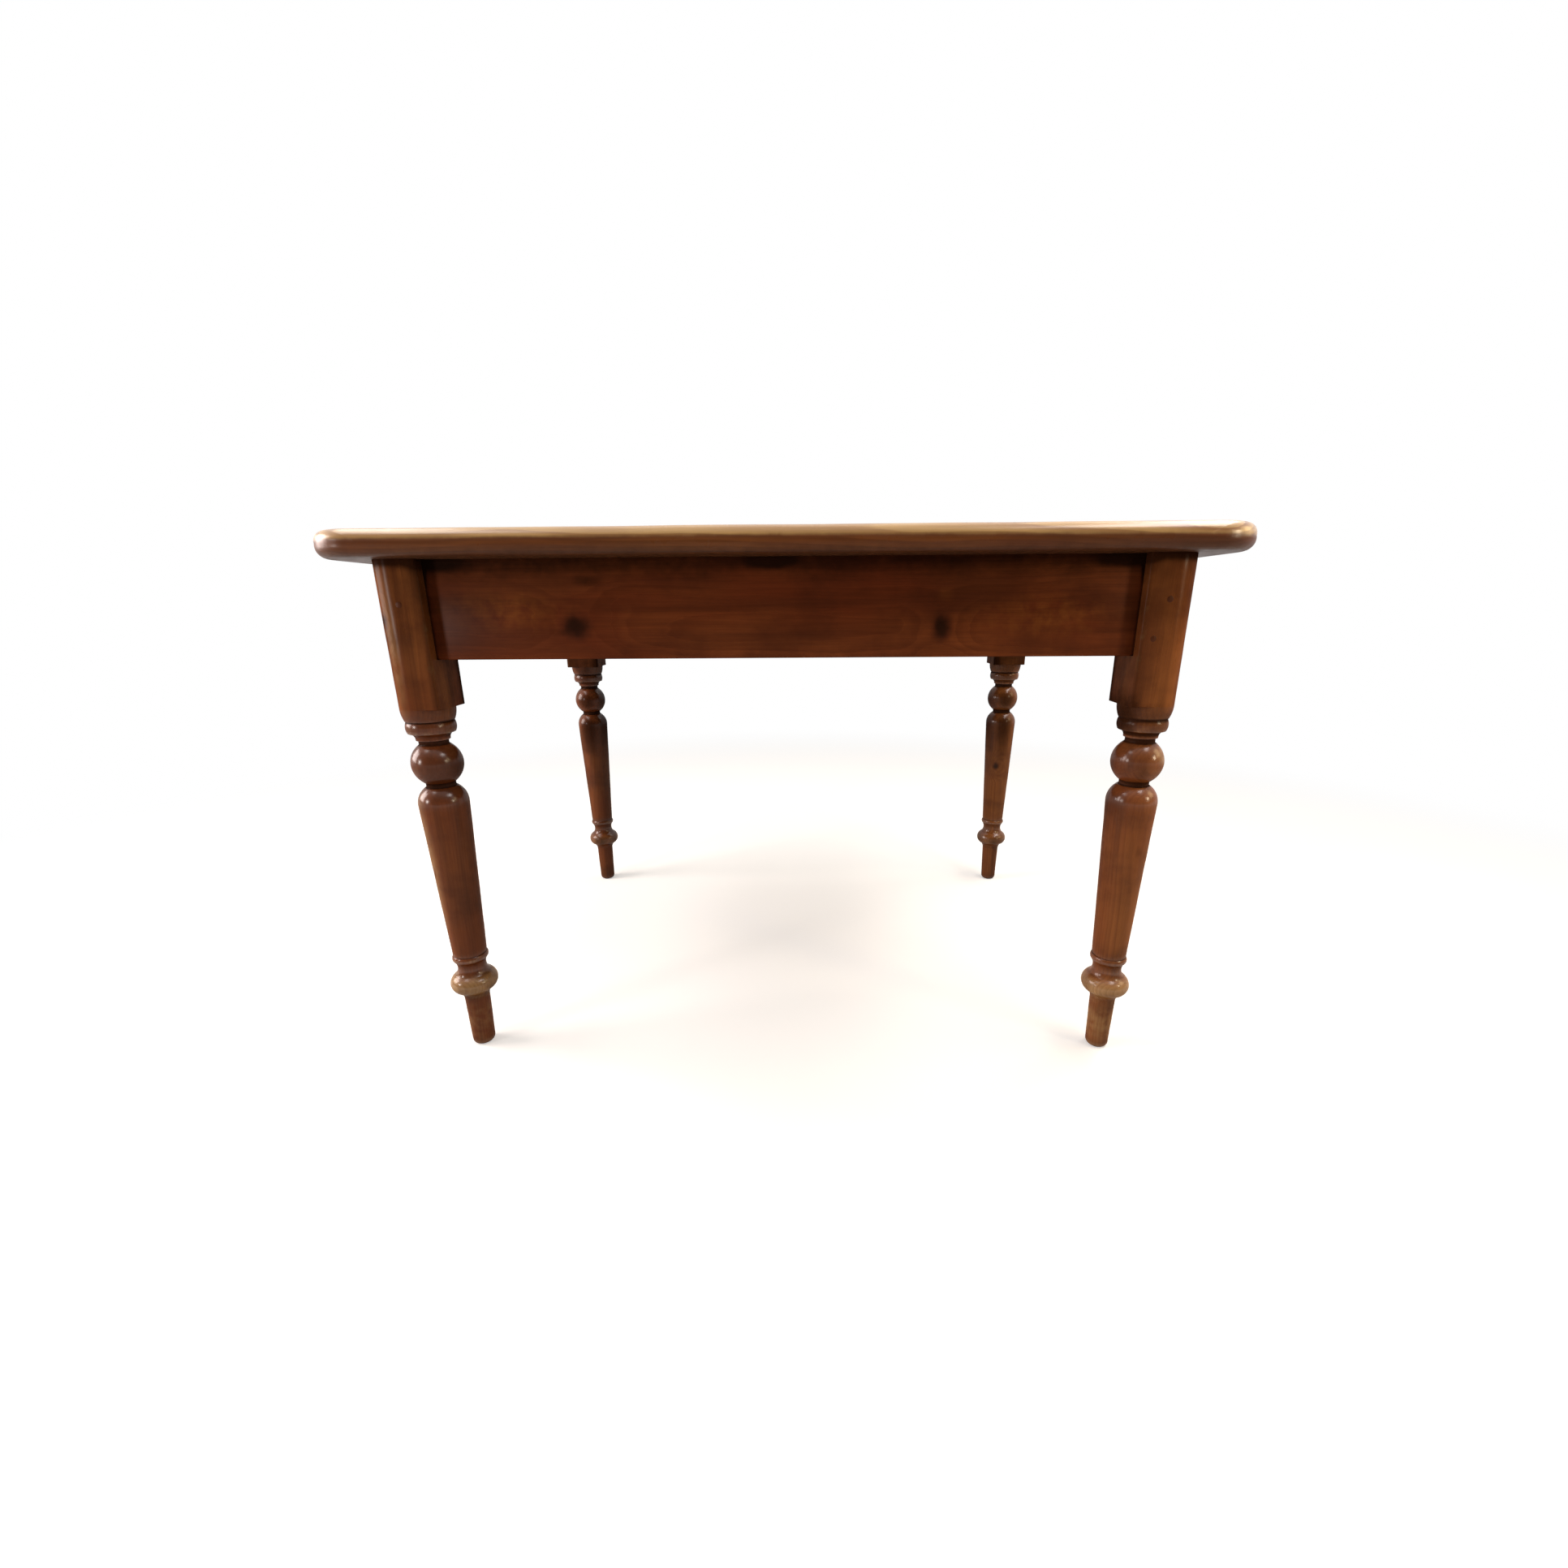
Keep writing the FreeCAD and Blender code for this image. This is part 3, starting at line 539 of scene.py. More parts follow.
    def knotted(self, bench: NodeBench, wood: Wood, colour: Socket) -> Socket:
        """Knots over a colour, with a rim of the deep stain."""
        soft = self.knot_softness
        rim = bench.span(wood.knot_distance, 0.8 - 0.5 * soft, 0.9 + 0.2 * soft, 0.0, 1.0)
        inside = bench.span(wood.knot_distance, 0.95 - 0.35 * soft, 1.1 + 0.6 * soft, 0.9, 0.0)
        return bench.blend(inside, colour, bench.blend(rim, self.knot, self.deep))

    def about_one(self, bench: NodeBench, pattern: Socket, contrast: float) -> Socket:
        """A factor that is one where a pattern is at its middle."""
        return bench.total(1 - contrast / 2, (pattern, contrast))

    def bump(self, bench: NodeBench, place: Socket, wood: Wood) -> Socket:
        """Relief of late wood, fibres and scuffs over wide soft hollows."""
        hollow = bench.noise(place, Pattern.HOLLOW)
        height = bench.total(0.0, (wood.fibre, 0.5), (wood.late, 0.3), (wood.scuff, 0.5), (hollow, 2.5))
        inputs = {"Height": height, "Strength": self.relief, "Distance": self.relief_height}
        return bench.node("ShaderNodeBump", inputs).outputs[0]

    def build(self, label: str, sawing: Sawing) -> bpy.types.Material:
        """Makes the material of one piece.

        Its colour is laid in coats: stained wood, wood worn through its stain (in places painted light),
        bare wood, knots, and the dark coat of soiling and painted shade. Fibres, rings and the piece's own
        tone then make it lighter or darker.

        Args:
            label: the piece's name.
            sawing: how the piece was cut.

        Returns:
            The material.
        """
        bench = NodeBench(bpy.data.materials.new(f"{self.name}_{label}"))
        place = bench.node("ShaderNodeTexCoord", {}).outputs["Object"]
        along = self.grain_place(bench, place, sawing)
        near, push = self.knot_fields(bench, place, sawing)
        late, ring_tone = self.figure(bench, along, push)
        scuff = bench.noise(place, Pattern.SCUFF)
        ragged = bench.step("SUBTRACT", scuff, 0.5)
        # Soiling, and painted shade under the top, in creases and hollows and on sides turned from the
        # lamps.
        dirt_and_shade = self.trace(bench, place, sawing, Trace.GRIME, ragged)
        dirt_and_shade = bench.span(bench.total(dirt_and_shade, (ragged, 0.4)), 0.15, 1.0, 0.0, 0.92)
        fibre = bench.noise(along, Pattern.FIBRE)
        blotch = bench.noise(place, Pattern.BLOTCH)
        wood = Wood(late, near, fibre, blotch, scuff)

        # Rubbing, and in places painted light on sides that face the lamps.
        wear = self.trace(bench, place, sawing, Trace.WEAR, ragged)
        wear = bench.span(bench.total(wear, (ragged, self.raggedness)), 0.2, 0.9, 0.0, 1.0)
        stained = self.stained(bench, along, wood, sawing.redness)
        colour = bench.blend(wear, stained, self.worn_through(bench, wood))
        bare = bench.blend(bench.step("MULTIPLY", late, 0.5), self.bare, self.worn_late)
        colour = bench.blend(bench.mark("bare"), colour, bare)
        colour = bench.blend(dirt_and_shade, self.knotted(bench, wood, colour), self.grime)
        tone = self.about_one(bench, fibre, self.fibre_contrast)
        tone = bench.step("MULTIPLY", tone, self.about_one(bench, ring_tone, self.ring_contrast))
        colour = bench.scaled(colour, bench.step("MULTIPLY", tone, sawing.tone))

        dull = bench.total(self.roughness, (bench.step("SUBTRACT", blotch, 0.5), 0.3), (ragged, 0.2))
        dull = bench.total(dull, (bench.mark("bare"), 0.35), (dirt_and_shade, 0.2))
        shader = bench.node("ShaderNodeBsdfPrincipled", {
            "Base Color": colour,
            "Roughness": dull,
            "Normal": self.bump(bench, place, wood),
            "Specular IOR Level": self.gloss,
            "Coat Weight": bench.step("MULTIPLY", bench.mark("polish"), bench.step("SUBTRACT", 1.0, dirt_and_shade)),
            "Coat Roughness": self.coat_roughness,
            "Coat IOR": self.coat_index,
        })
        bench.node("ShaderNodeOutputMaterial", {"Surface": shader.outputs[0]})
        return bench.owner


@dataclass(frozen=True)
class SteelFinish:
    """Dulled steel of old wood screws."""

    name: str = "screw_steel"
    clean: Colour = stain(128, 122, 112)
    rusty: Colour = stain(82, 52, 34)

    def build(self) -> bpy.types.Material:
        """Makes the material."""
        bench = NodeBench(bpy.data.materials.new(self.name))
        place = bench.node("ShaderNodeTexCoord", {}).outputs["Object"]
        rust = bench.noise(place, Pattern.RUST)
        colour = bench.blend(bench.span(rust, 0.42, 0.62, 0.0, 1.0), self.clean, self.rusty)
        shader = bench.node("ShaderNodeBsdfPrincipled", {
            "Base Color": colour,
            "Metallic": bench.span(rust, 0.42, 0.62, 1.0, 0.2),
            "Roughness": bench.span(rust, 0.4, 0.6, 0.38, 0.8),
        })
        bench.node("ShaderNodeOutputMaterial", {"Surface": shader.outputs[0]})
        return bench.owner


LEG_WOOD = WoodFinish(
    "leg_wood",
    early=stain(147, 90, 46),
    late=stain(97, 54, 27),
    deep=stain(76, 41, 22),
    red=stain(120, 59, 30),
    worn=stain(182, 144, 96),
    worn_late=stain(146, 106, 66),
    grime=stain(46, 25, 15),
    knot=stain(40, 22, 14),
    bare=stain(172, 132, 88),
    ring_spacing=0.0036,
    gloss=0.0,
    coat_roughness=0.22,
)
APRON_WOOD = WoodFinish(
    "apron_wood",
    early=stain(136, 73, 39),
    late=stain(91, 46, 25),
    deep=stain(74, 37, 23),
    red=stain(113, 49, 27),
    worn=stain(164, 96, 44),
    worn_late=stain(118, 64, 28),
    grime=stain(30, 20, 15),
    knot=stain(34, 20, 13),
    bare=stain(172, 132, 88),
    ring_spacing=0.0052,
    ring_share=0.42,
    roughness=0.4,
    gloss=0.0,
)
TOP_WOOD = WoodFinish(
    "top_wood",
    early=stain(133, 80, 42),
    late=stain(92, 51, 26),
    deep=stain(81, 47, 26),
    red=stain(112, 58, 30),
    worn=stain(206, 164, 102),
    worn_late=stain(150, 96, 48),
    grime=stain(48, 32, 22),
    knot=stain(104, 52, 22),
    bare=stain(198, 168, 128),
    ring_spacing=0.0056,
    ring_share=0.85,
    worn_ring_share=1.0,
    blotch_share=0.3,
    roughness=0.3,
    gloss=0.12,
    raggedness=0.3,
    coat_roughness=0.3,
    knot_softness=0.25,
)
INNER_WOOD = WoodFinish(
    "inner_wood",
    early=stain(186, 148, 104),
    late=stain(146, 104, 64),
    deep=stain(148, 110, 74),
    red=stain(170, 124, 82),
    worn=stain(196, 160, 116),
    worn_late=stain(160, 118, 76),
    grime=stain(66, 50, 38),
    knot=stain(92, 56, 32),
    bare=stain(186, 148, 104),
    roughness=0.68,
    gloss=0.04,
)
PEG_WOOD = WoodFinish(
    "peg_wood",
    early=stain(106, 56, 27),
    late=stain(72, 36, 17),
    deep=stain(66, 34, 17),
    red=stain(88, 42, 20),
    worn=stain(112, 64, 34),
    worn_late=stain(82, 44, 22),
    grime=stain(24, 16, 12),
    knot=stain(30, 18, 12),
    bare=stain(84, 44, 22),
    ring_spacing=0.0012,
)


# Legs

@dataclass(frozen=True)
class Stretch:
    """One stretch of a turned outline, from where the last one ended."""

    rise: float
    radius: float
    bow: float = 0.0


def swept_bow(run: float, rise: float) -> float:
    """Bow of an arc that starts along the leg's axis and moves out by the run over the rise."""
    radius = (run ** 2 + rise ** 2) / (2 * run)
    return radius - math.sqrt(radius ** 2 - (run ** 2 + rise ** 2) / 4)


@dataclass
class TurnedLeg:
    """A leg with a square block above its turning.

    The surface is a grid: each row goes once round the leg, and the rows follow the turned
    outline from the floor to the block and then climb the block.
    """

    name: str
    side: int
    depth: int
    seed: int
    sawing: Sawing
    foot_round: float = 0.008
    foot_bottom_radius: float = 0.0165
    foot_top_radius: float = 0.0183
    foot_height: float = 0.083
    flare_height: float = 0.014
    flare_bow: float = -0.0018
    ring_height: float = 0.029
    ring_seat_radius: float = 0.025
    ring_radius: float = 0.034
    slim_neck_height: float = 0.023
    slim_neck_bow: float = -0.0038
    astragal_height: float = 0.011
    astragal_seat_radius: float = 0.0232
    astragal_radius: float = 0.0258
    taper_bottom_radius: float = 0.0239
    taper_top_radius: float = 0.0334
    shoulder_height: float = 0.024
    shoulder_step_radius: float = 0.021
    lower_neck_radius: float = 0.0194
    lower_neck_height: float = 0.006
    ball_radius: float = 0.0338
    upper_neck_radius: float = 0.0192
    upper_neck_height: float = 0.0058
    neck_band_height: float = 0.002
    cove_height: float = 0.0082
    cove_foot_radius: float = 0.022
    collar_height: float = 0.017
    collar_seat_radius: float = 0.0302
    collar_radius: float = 0.0322
    vase_height: float = 0.018
    vase_foot_radius: float = 0.0312
    block_height: float = 0.19
    block_side: float = 0.07
    block_arris: float = 0.003
    corner_columns: int = 36
    flat_columns: int = 13
    arris_columns: int = 6
    block_step: float = 0.004
    block_foot_rise: float = 0.0006
    block_foot_inset: float = 0.0007
    outline_spacing: float = 0.0003
    even_spacing: float = 0.0005
    edge_rounding: float = 1.6
    detail_turn: float = math.radians(8.0)
    detail_step: float = 0.006
    straight_within: float = math.radians(6.0)
    upper_polish: float = 0.42
    least_polish: float = 0.12
    block_polish: float = 0.07
    arris_wear: float = 0.22
    waviness: float = 0.00012
    nick_depth: float = 0.0006

    def stretches(self) -> list[Stretch]:
        """The turned outline from the middle of the foot up to the block."""
        quarter_bow = self.foot_round * (1 - math.cos(math.pi / 4))
        below = math.sqrt(self.ball_radius ** 2 - self.lower_neck_radius ** 2)
        above = math.sqrt(self.ball_radius ** 2 - self.upper_neck_radius ** 2)
        ball_height = below + above
        chord = math.hypot(ball_height, self.lower_neck_radius - self.upper_neck_radius)
        ball_bow = self.ball_radius - math.sqrt(self.ball_radius ** 2 - chord ** 2 / 4)
        upper = [
            Stretch(
                self.shoulder_height,
                self.shoulder_step_radius,
                swept_bow(self.taper_top_radius - self.shoulder_step_radius, self.shoulder_height),
            ),
            Stretch(0.0, self.lower_neck_radius),
            Stretch(self.lower_neck_height, self.lower_neck_radius),
            Stretch(ball_height, self.upper_neck_radius, ball_bow),
            Stretch(self.upper_neck_height, self.upper_neck_radius),
            Stretch(0.0, self.cove_foot_radius),
            Stretch(self.neck_band_height, self.cove_foot_radius),
            Stretch(
                self.cove_height,
                self.collar_seat_radius,
                -swept_bow(self.collar_seat_radius - self.cove_foot_radius, self.cove_height),
            ),
            Stretch(
                self.collar_height, self.collar_seat_radius, self.collar_radius - self.collar_seat_radius
            ),
            Stretch(0.0, self.vase_foot_radius),
            Stretch(
                self.vase_height,
                self.block_side / 2,
                swept_bow(self.block_side / 2 - self.vase_foot_radius, self.vase_height),
            ),
        ]
        lower = [
            Stretch(0.0, self.foot_bottom_radius - self.foot_round),
            Stretch(self.foot_round, self.foot_bottom_radius, quarter_bow),
            Stretch(self.foot_height - self.foot_round, self.foot_top_radius),
            Stretch(self.flare_height, self.ring_seat_radius, self.flare_bow),
            Stretch(self.ring_height, self.ring_seat_radius, self.ring_radius - self.ring_seat_radius),
            Stretch(self.slim_neck_height, self.astragal_seat_radius, self.slim_neck_bow),
            Stretch(
                self.astragal_height,
                self.astragal_seat_radius,
                self.astragal_radius - self.astragal_seat_radius,
            ),
            Stretch(0.0, self.taper_bottom_radius),
        ]
        used = sum(stretch.rise for stretch in lower + upper)
        taper = Stretch(TABLE_UNDERSIDE - self.block_height - used, self.taper_top_radius)
        return lower + [taper] + upper

    def outline(self) -> tuple[np.ndarray, np.ndarray]:
        """Heights and radii along the turned outline, closely spaced.

        A bowed stretch is a circular arc: its points lie off the chord by the height of a
        circle segment above that chord.
        """
        height, radius = 0.0, 0.001
        heights, radii = [], []
        for stretch in self.stretches():
            rise, run = stretch.rise, stretch.radius - radius
            chord = math.hypot(rise, run)
            count = max(int(chord / self.outline_spacing), 4)
            share = np.arange(count) / count
            off = np.zeros(count)
            if stretch.bow:
                bow = abs(stretch.bow)
                circle = (chord ** 2 / 4 + bow ** 2) / (2 * bow)
                off = np.sqrt(circle ** 2 - ((share - 0.5) * chord) ** 2) - (circle - bow)
                off *= math.copysign(1.0, stretch.bow)
            heights.append(height + share * rise - off * run / chord)
            radii.append(radius + share * run + off * rise / chord)
            height += rise
            radius = stretch.radius
        return np.concatenate(heights + [[height]]), np.concatenate(radii + [[radius]])

    def turned_rows(self) -> tuple[np.ndarray, np.ndarray, np.ndarray, np.ndarray]:
        """Rows of the turning: heights, radii, how proud each lies, and how far it faces up.

        The outline is rounded a little, as handling and wax leave it. Rows are closer where
        the outline turns. A row is proud by its radius less the mean radius around it.
        """
        bell = eased_down(np.arange(-6, 7) / (self.edge_rounding * math.sqrt(2)))
        height, radius = (smoothed(line, bell) for line in self.outline())
        step = np.hypot(np.diff(height), np.diff(radius))
        way = np.concatenate([[0.0], np.cumsum(step)])
        heading = np.unwrap(np.arctan2(np.diff(radius), np.diff(height)))
        turning = np.concatenate([[0.0], np.abs(np.diff(heading)), [0.0]])
        measure = np.cumsum(turning) / self.detail_turn + way / self.detail_step
        rows = int(measure[-1]) + 1
        picked = np.interp(np.linspace(0.0, measure[-1], rows), measure, way)
        even = np.arange(0.0, way[-1], self.even_spacing)
        even_radius = np.interp(even, way, radius)
        around = np.hanning(41)
        proud = np.interp(picked, even, even_radius - smoothed(even_radius, around))
        slope = np.gradient(even_radius, self.even_spacing)
        facing_up = smoothed((slope < -math.sin(self.straight_within)) * 1.0, around)
        rising = share_of(np.interp(picked, even, facing_up), 1 / 1.6)
        return np.interp(picked, way, height), np.interp(picked, way, radius), proud, rising

    def block_plan(self) -> np.ndarray:
        """Outline of the block as one row: a quarter round outside, three eased corners."""
        half = self.block_side / 2
        turn = np.linspace(0.0, math.pi / 2, self.corner_columns, endpoint=False)
        sides = [np.stack([half * np.cos(turn), half * np.sin(turn)], axis=-1)]
        arris = half - self.block_arris
        ease = np.linspace(0.0, math.pi / 2, self.arris_columns)
        flat = np.linspace(0.0, arris, self.flat_columns, endpoint=False)
        quarter = np.concatenate([
            np.stack([np.full(self.flat_columns, half), flat], axis=-1),
            arris + self.block_arris * np.stack([np.cos(ease), np.sin(ease)], axis=-1),
            np.stack([flat[:0:-1], np.full(self.flat_columns - 1, half)], axis=-1),
        ])
        x, y = quarter.T
        for cosine, sine in ((0, 1), (-1, 0), (0, -1)):
            sides.append(np.stack([x * cosine - y * sine, x * sine + y * cosine], axis=-1))
        return np.concatenate(sides)

    def surface(self) -> Surface:
        """The whole leg about its own axis, with its outer corner towards +X and +Y.

        A turned row is the block's plan drawn in to a circle of the row's radius. The block
        rises from the turning with its corners drawn in a hair at their foot. What is proud is
        worn and waxed. What is hollow is darker, partly soiling and partly painted shade, and the
        block's upper end under the top is darkened with painted shade.
        """
        height, radius, proud, rising = self.turned_rows()
        plan = self.block_plan()
        half = self.block_side / 2
        away = np.hypot(*plan.T)
        turned = radius[:, None, None] * (plan / away[:, None])[None]
        shoulder = TABLE_UNDERSIDE - self.block_height
        block_z = np.concatenate([
            [shoulder, shoulder + self.block_foot_rise],
            np.arange(shoulder + self.block_step, TABLE_UNDERSIDE - 0.001, self.block_step),
            [TABLE_UNDERSIDE],
        ])
        block = np.repeat(plan[None], len(block_z), axis=0)
        corners = share_of(away - half, half * 0.41 / 3)
        block[0] *= 1.0 - self.block_foot_inset * corners[:, None] / half
        flat = np.concatenate([turned, block])
        heights = np.concatenate([height, block_z])
        heights = np.broadcast_to(heights[:, None, None], flat[..., :1].shape)
        points = np.concatenate([flat, heights], axis=-1)
        arris = eased_down((half * 1.41 - 0.0012 - away) / 0.0035)
        climb = (block_z - shoulder) / self.block_height
        waxed = np.maximum(0.75 * share_of(proud, 0.0015), self.upper_polish * rising)
        on_turning = {
            "wear": share_of(proud, 0.0026, 0.75),
            # darker in hollows: soiling and painted shade
            "grime": share_of(-proud, 0.0012),
            "polish": self.least_polish + (1 - self.least_polish) * waxed,
        }
        on_block = {
            "wear": self.arris_wear * arris[None],
            # painted shade at the block's upper end, under the top
            "grime": 0.8 * climb[:, None] ** 16,
            "polish": np.array([[self.block_polish]]),
        }
        marks = {
            name: np.concatenate([
                np.broadcast_to(on_turning[name][:, None], turned.shape[:2]),
                np.broadcast_to(on_block[name], block.shape[:2]),
            ])
            for name in on_turning
        }
        return Surface(points, marks)

    def build(self) -> None:
        """Makes the leg in its place, with the unevenness of hand turning."""
        surface = self.surface()
        low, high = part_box(self.name)
        points = surface.vertices() * [self.side, self.depth, 1.0]
        points += [(low.x + high.x) / 2, (low.y + high.y) / 2, 0.0]
        faces = surface.faces()
        if self.side * self.depth < 0:
            faces = [face[::-1] for face in faces]
        piece = put_mesh(f"{self.name}_turned", points, faces)
        put_marks(piece, {name: surface.mark(name) for name in surface.marks})
        waves = Unevenness(self.seed, 0.045).at(points) * self.waviness
        nicks = Unevenness(self.seed + 50, 0.012).dents(points, 1.7, self.nick_depth)
        clear_of_ends = share_of(TABLE_UNDERSIDE - points[:, 2], 0.004) * share_of(points[:, 2], 0.004)
        press_in(piece, (waves + nicks + 0.0001) * clear_of_ends)
        smooth_shading(piece, crease_degrees=40.0)
        settle(piece, LEG_WOOD.build(self.name, self.sawing), [self.name])


# The top

@dataclass
class BoardTop:
    """The five boards of the top, with rounded corners and edges.

    Each board is two grids, above and below, joined by a band round its rim. A point's height
    follows from how far it lies inside the top's outline: within a rounding's radius of the
    outline, the face falls away as a quarter circle.
    """

    sawings: list[Sawing]
    corner_radius: float = 0.065
    upper_round: float = 0.014
    lower_round: float = 0.013
    seam_ease: float = 0.0007
    seam_reach: float = 0.0015
    stained_margin: float = 0.07
    step: float = 0.004
    round_rows: int = 8
    corner_rows: int = 26
    rim_bands: int = 3
    seam_rows: tuple[float, ...] = (0.0, 0.0003, 0.0007, 0.0012, 0.002)
    inner_columns: tuple[float, ...] = (0.014, 0.018, 0.023)
    wave_seed: int = 300
    waviness: float = 0.0002
    nick_seed: int = 340
    nick_depth: float = 0.0007

    def __post_init__(self) -> None:
        """Reads the size of the whole top from the frame."""
        boxes = [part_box(f"top_board_{index + 1}") for index in range(len(self.sawings))]
        self.boxes = boxes
        self.half_length = boxes[0][1].x
        self.half_width = boxes[-1][1].y

    def half_length_at(self, y: np.ndarray) -> np.ndarray:
        """Half the top's length at each distance from its middle line."""
        into_corner = np.clip(self.corner_radius - (self.half_width - np.abs(y)), 0.0, self.corner_radius)
        drawn_in = self.corner_radius - np.sqrt(self.corner_radius ** 2 - into_corner ** 2)
        return self.half_length - drawn_in

    def inside_by(self, x: np.ndarray, y: np.ndarray) -> np.ndarray:
        """How far each point lies inside the rounded outline of the top."""
        over_x = np.abs(x) - (self.half_length - self.corner_radius)
        over_y = np.abs(y) - (self.half_width - self.corner_radius)
        outside = np.hypot(np.maximum(over_x, 0.0), np.maximum(over_y, 0.0))
        inside = np.minimum(np.maximum(over_x, over_y), 0.0)
        return np.maximum(self.corner_radius - outside - inside, 0.0)

    def fall(self, inside: np.ndarray, radius: float) -> np.ndarray:
        """How far a quarter-round face has fallen at a distance inside the outline."""
        left = np.clip(radius - inside, 0.0, radius)
        return radius - np.sqrt(radius ** 2 - left ** 2)

    def offsets(self, radius: float, count: int) -> np.ndarray:
        """Distances from an edge that divide a quarter round evenly."""
        return radius * (1 - np.cos(np.linspace(0.0, math.pi / 2, count)))

    def rows(self, low: float, high: float, rounded_low: bool, rounded_high: bool) -> np.ndarray:
        """Y of a board's rows, closer at its seams, its rounded edge and the top's corners."""
        corner = self.offsets(self.corner_radius, self.corner_rows)
        upper = self.offsets(self.upper_round, self.round_rows)
        edge = np.unique(np.round(np.concatenate([corner, upper]), 6))
        seam = np.array(self.seam_rows)
        near = edge if rounded_low else seam
        far = edge if rounded_high else seam
        between = np.arange(low + near[-1] + self.step, high - far[-1] - self.step / 2, self.step)
        rows = np.unique(np.concatenate([low + near, between, high - far]))
        apart = np.concatenate([[True], np.diff(rows) > 0.00004])
        return rows[apart]

    def columns(self, y: np.ndarray) -> np.ndarray:
        """X of every point, row by row: evenly spaced, and closer at the two ends."""
        edge = np.concatenate([self.offsets(self.upper_round, self.round_rows), self.inner_columns])
        count = int(2 * (self.half_length - edge[-1]) / self.step)
        share = np.linspace(-1.0, 1.0, count)[1:-1]
        reach = self.half_length_at(y)[:, None]
        end = reach - edge[None]
        return np.concatenate([-end, share[None] * (reach - edge[-1]), end[:, ::-1]], axis=1)

    def to_seam(self, y: np.ndarray, index: int) -> np.ndarray:
        """Distance of each point from the nearer seam of its board."""
        low, high = self.boxes[index][0].y, self.boxes[index][1].y
        far = np.full(y.shape, 1.0)
        return np.minimum(y - low if index > 0 else far, high - y if index < len(self.boxes) - 1 else far)

    def shell(self, index: int) -> tuple[np.ndarray, list[list[int]]]:
        """Vertices and faces of one board: its upper grid, its lower one and the band between.

        Args:
            index: the board's number, counted from the front.

        Returns:
            The vertices, one row of three coordinates each, and the vertices of each face.
        """
        low, high = self.boxes[index][0].y, self.boxes[index][1].y
        y = self.rows(low, high, index == 0, index == len(self.boxes) - 1)
        x = self.columns(y)
        y = np.broadcast_to(y[:, None], x.shape)
        inside = self.inside_by(x, y)
        seam_fall = self.seam_ease * np.clip(1 - self.to_seam(y, index) / self.seam_reach, 0.0, 1.0) ** 2
        top = TABLE_TOP - np.maximum(self.fall(inside, self.upper_round), seam_fall)
        bottom = TABLE_UNDERSIDE + self.fall(inside, self.lower_round)
        grids = np.concatenate([np.stack([x, y, z], axis=-1).reshape(-1, 3) for z in (top, bottom)])

        grid = np.arange(x.size).reshape(x.shape)
        corners = np.stack([grid[:-1, :-1], grid[:-1, 1:], grid[1:, 1:], grid[1:, :-1]], axis=-1)
        upper_faces = corners.reshape(-1, 4)
        lower_faces = upper_faces[:, [0, 3, 2, 1]] + x.size
        rim = np.concatenate([grid[0, :-1], grid[:-1, -1], grid[-1, :0:-1], grid[:0:-1, 0]])
        share = (np.arange(1, self.rim_bands) / self.rim_bands)[:, None, None]
        band = grids[rim][None] * (1 - share) + grids[rim + x.size][None] * share
        between = 2 * x.size + np.arange(band[..., 0].size).reshape(-1, len(rim))
        rings = [rim, *between, rim + x.size]
        band_faces = [
            np.stack([high_ring, low_ring, np.roll(low_ring, -1), np.roll(high_ring, -1)], axis=-1)
            for high_ring, low_ring in zip(rings[:-1], rings[1:])
        ]
        faces = np.concatenate([upper_faces, lower_faces, *band_faces]).tolist()
        return np.concatenate([grids, band.reshape(-1, 3)]), faces

    def weather(self, piece: bpy.types.Object, points: np.ndarray, index: int) -> None:
        """Marks where a board is worn, dirty, darkened with painted shade or bare, and lets its faces wander
        a little.

        The upper face is worn through and most so along its rim, further down its edge on the
        right than on the left. Seams on the upper face are dirty, and within the margin the
        underside is bare. The lower half of the edge and the underside are darkened with painted
        shade, less so where bare. The rim is waxed most.
        """
        x, y, z = points.T
        inside = self.inside_by(x, y)
        to_seam = self.to_seam(y, index)
        up = (z - TABLE_UNDERSIDE) / (TABLE_TOP - TABLE_UNDERSIDE)
        face = share_of(up - 0.5 + 0.1 * share_of(x, self.half_length), 0.24)
        rim = eased_down(inside / 0.012) * face
        seam = eased_down(share_of(to_seam, 1.0) / 0.0012)
        bare = share_of(inside - self.stained_margin, 0.02) * (up < 0.3)
        # Dirty seams on the upper face, and painted shade towards the underside
        grime = np.maximum(0.95 * seam * face, 0.7 * np.clip(1 - up / 0.55, 0.0, 1.0))
        put_marks(piece, {
            "wear": 0.66 * face + 0.34 * rim,
            "grime": grime * (1 - 0.7 * bare),
            "bare": bare,
            "polish": np.clip(0.25 * face + 0.75 * rim + 0.04, 0.0, 1.0) * (1 - bare),
        })
        free = share_of(to_seam, 0.02)
        waves = Unevenness(self.wave_seed + index, 0.16).at(points) * self.waviness
        nicks = Unevenness(self.nick_seed + index, 0.014).dents(points, 1.9, self.nick_depth)
        press_in(piece, (waves + 0.0003) * free * (up > 0.5) + nicks * free * (up > 0.3))

    def build(self) -> None:
        """Makes all the boards."""
        for index, sawing in enumerate(self.sawings):
            name = f"board_{index + 1}"
            vertices, faces = self.shell(index)
            piece = put_mesh(name, vertices, faces)
            self.weather(piece, vertices, index)
            smooth_shading(piece, crease_degrees=45.0)
            settle(piece, TOP_WOOD.build(name, sawing), [f"top_{name}"])


# Aprons and the pieces under the top

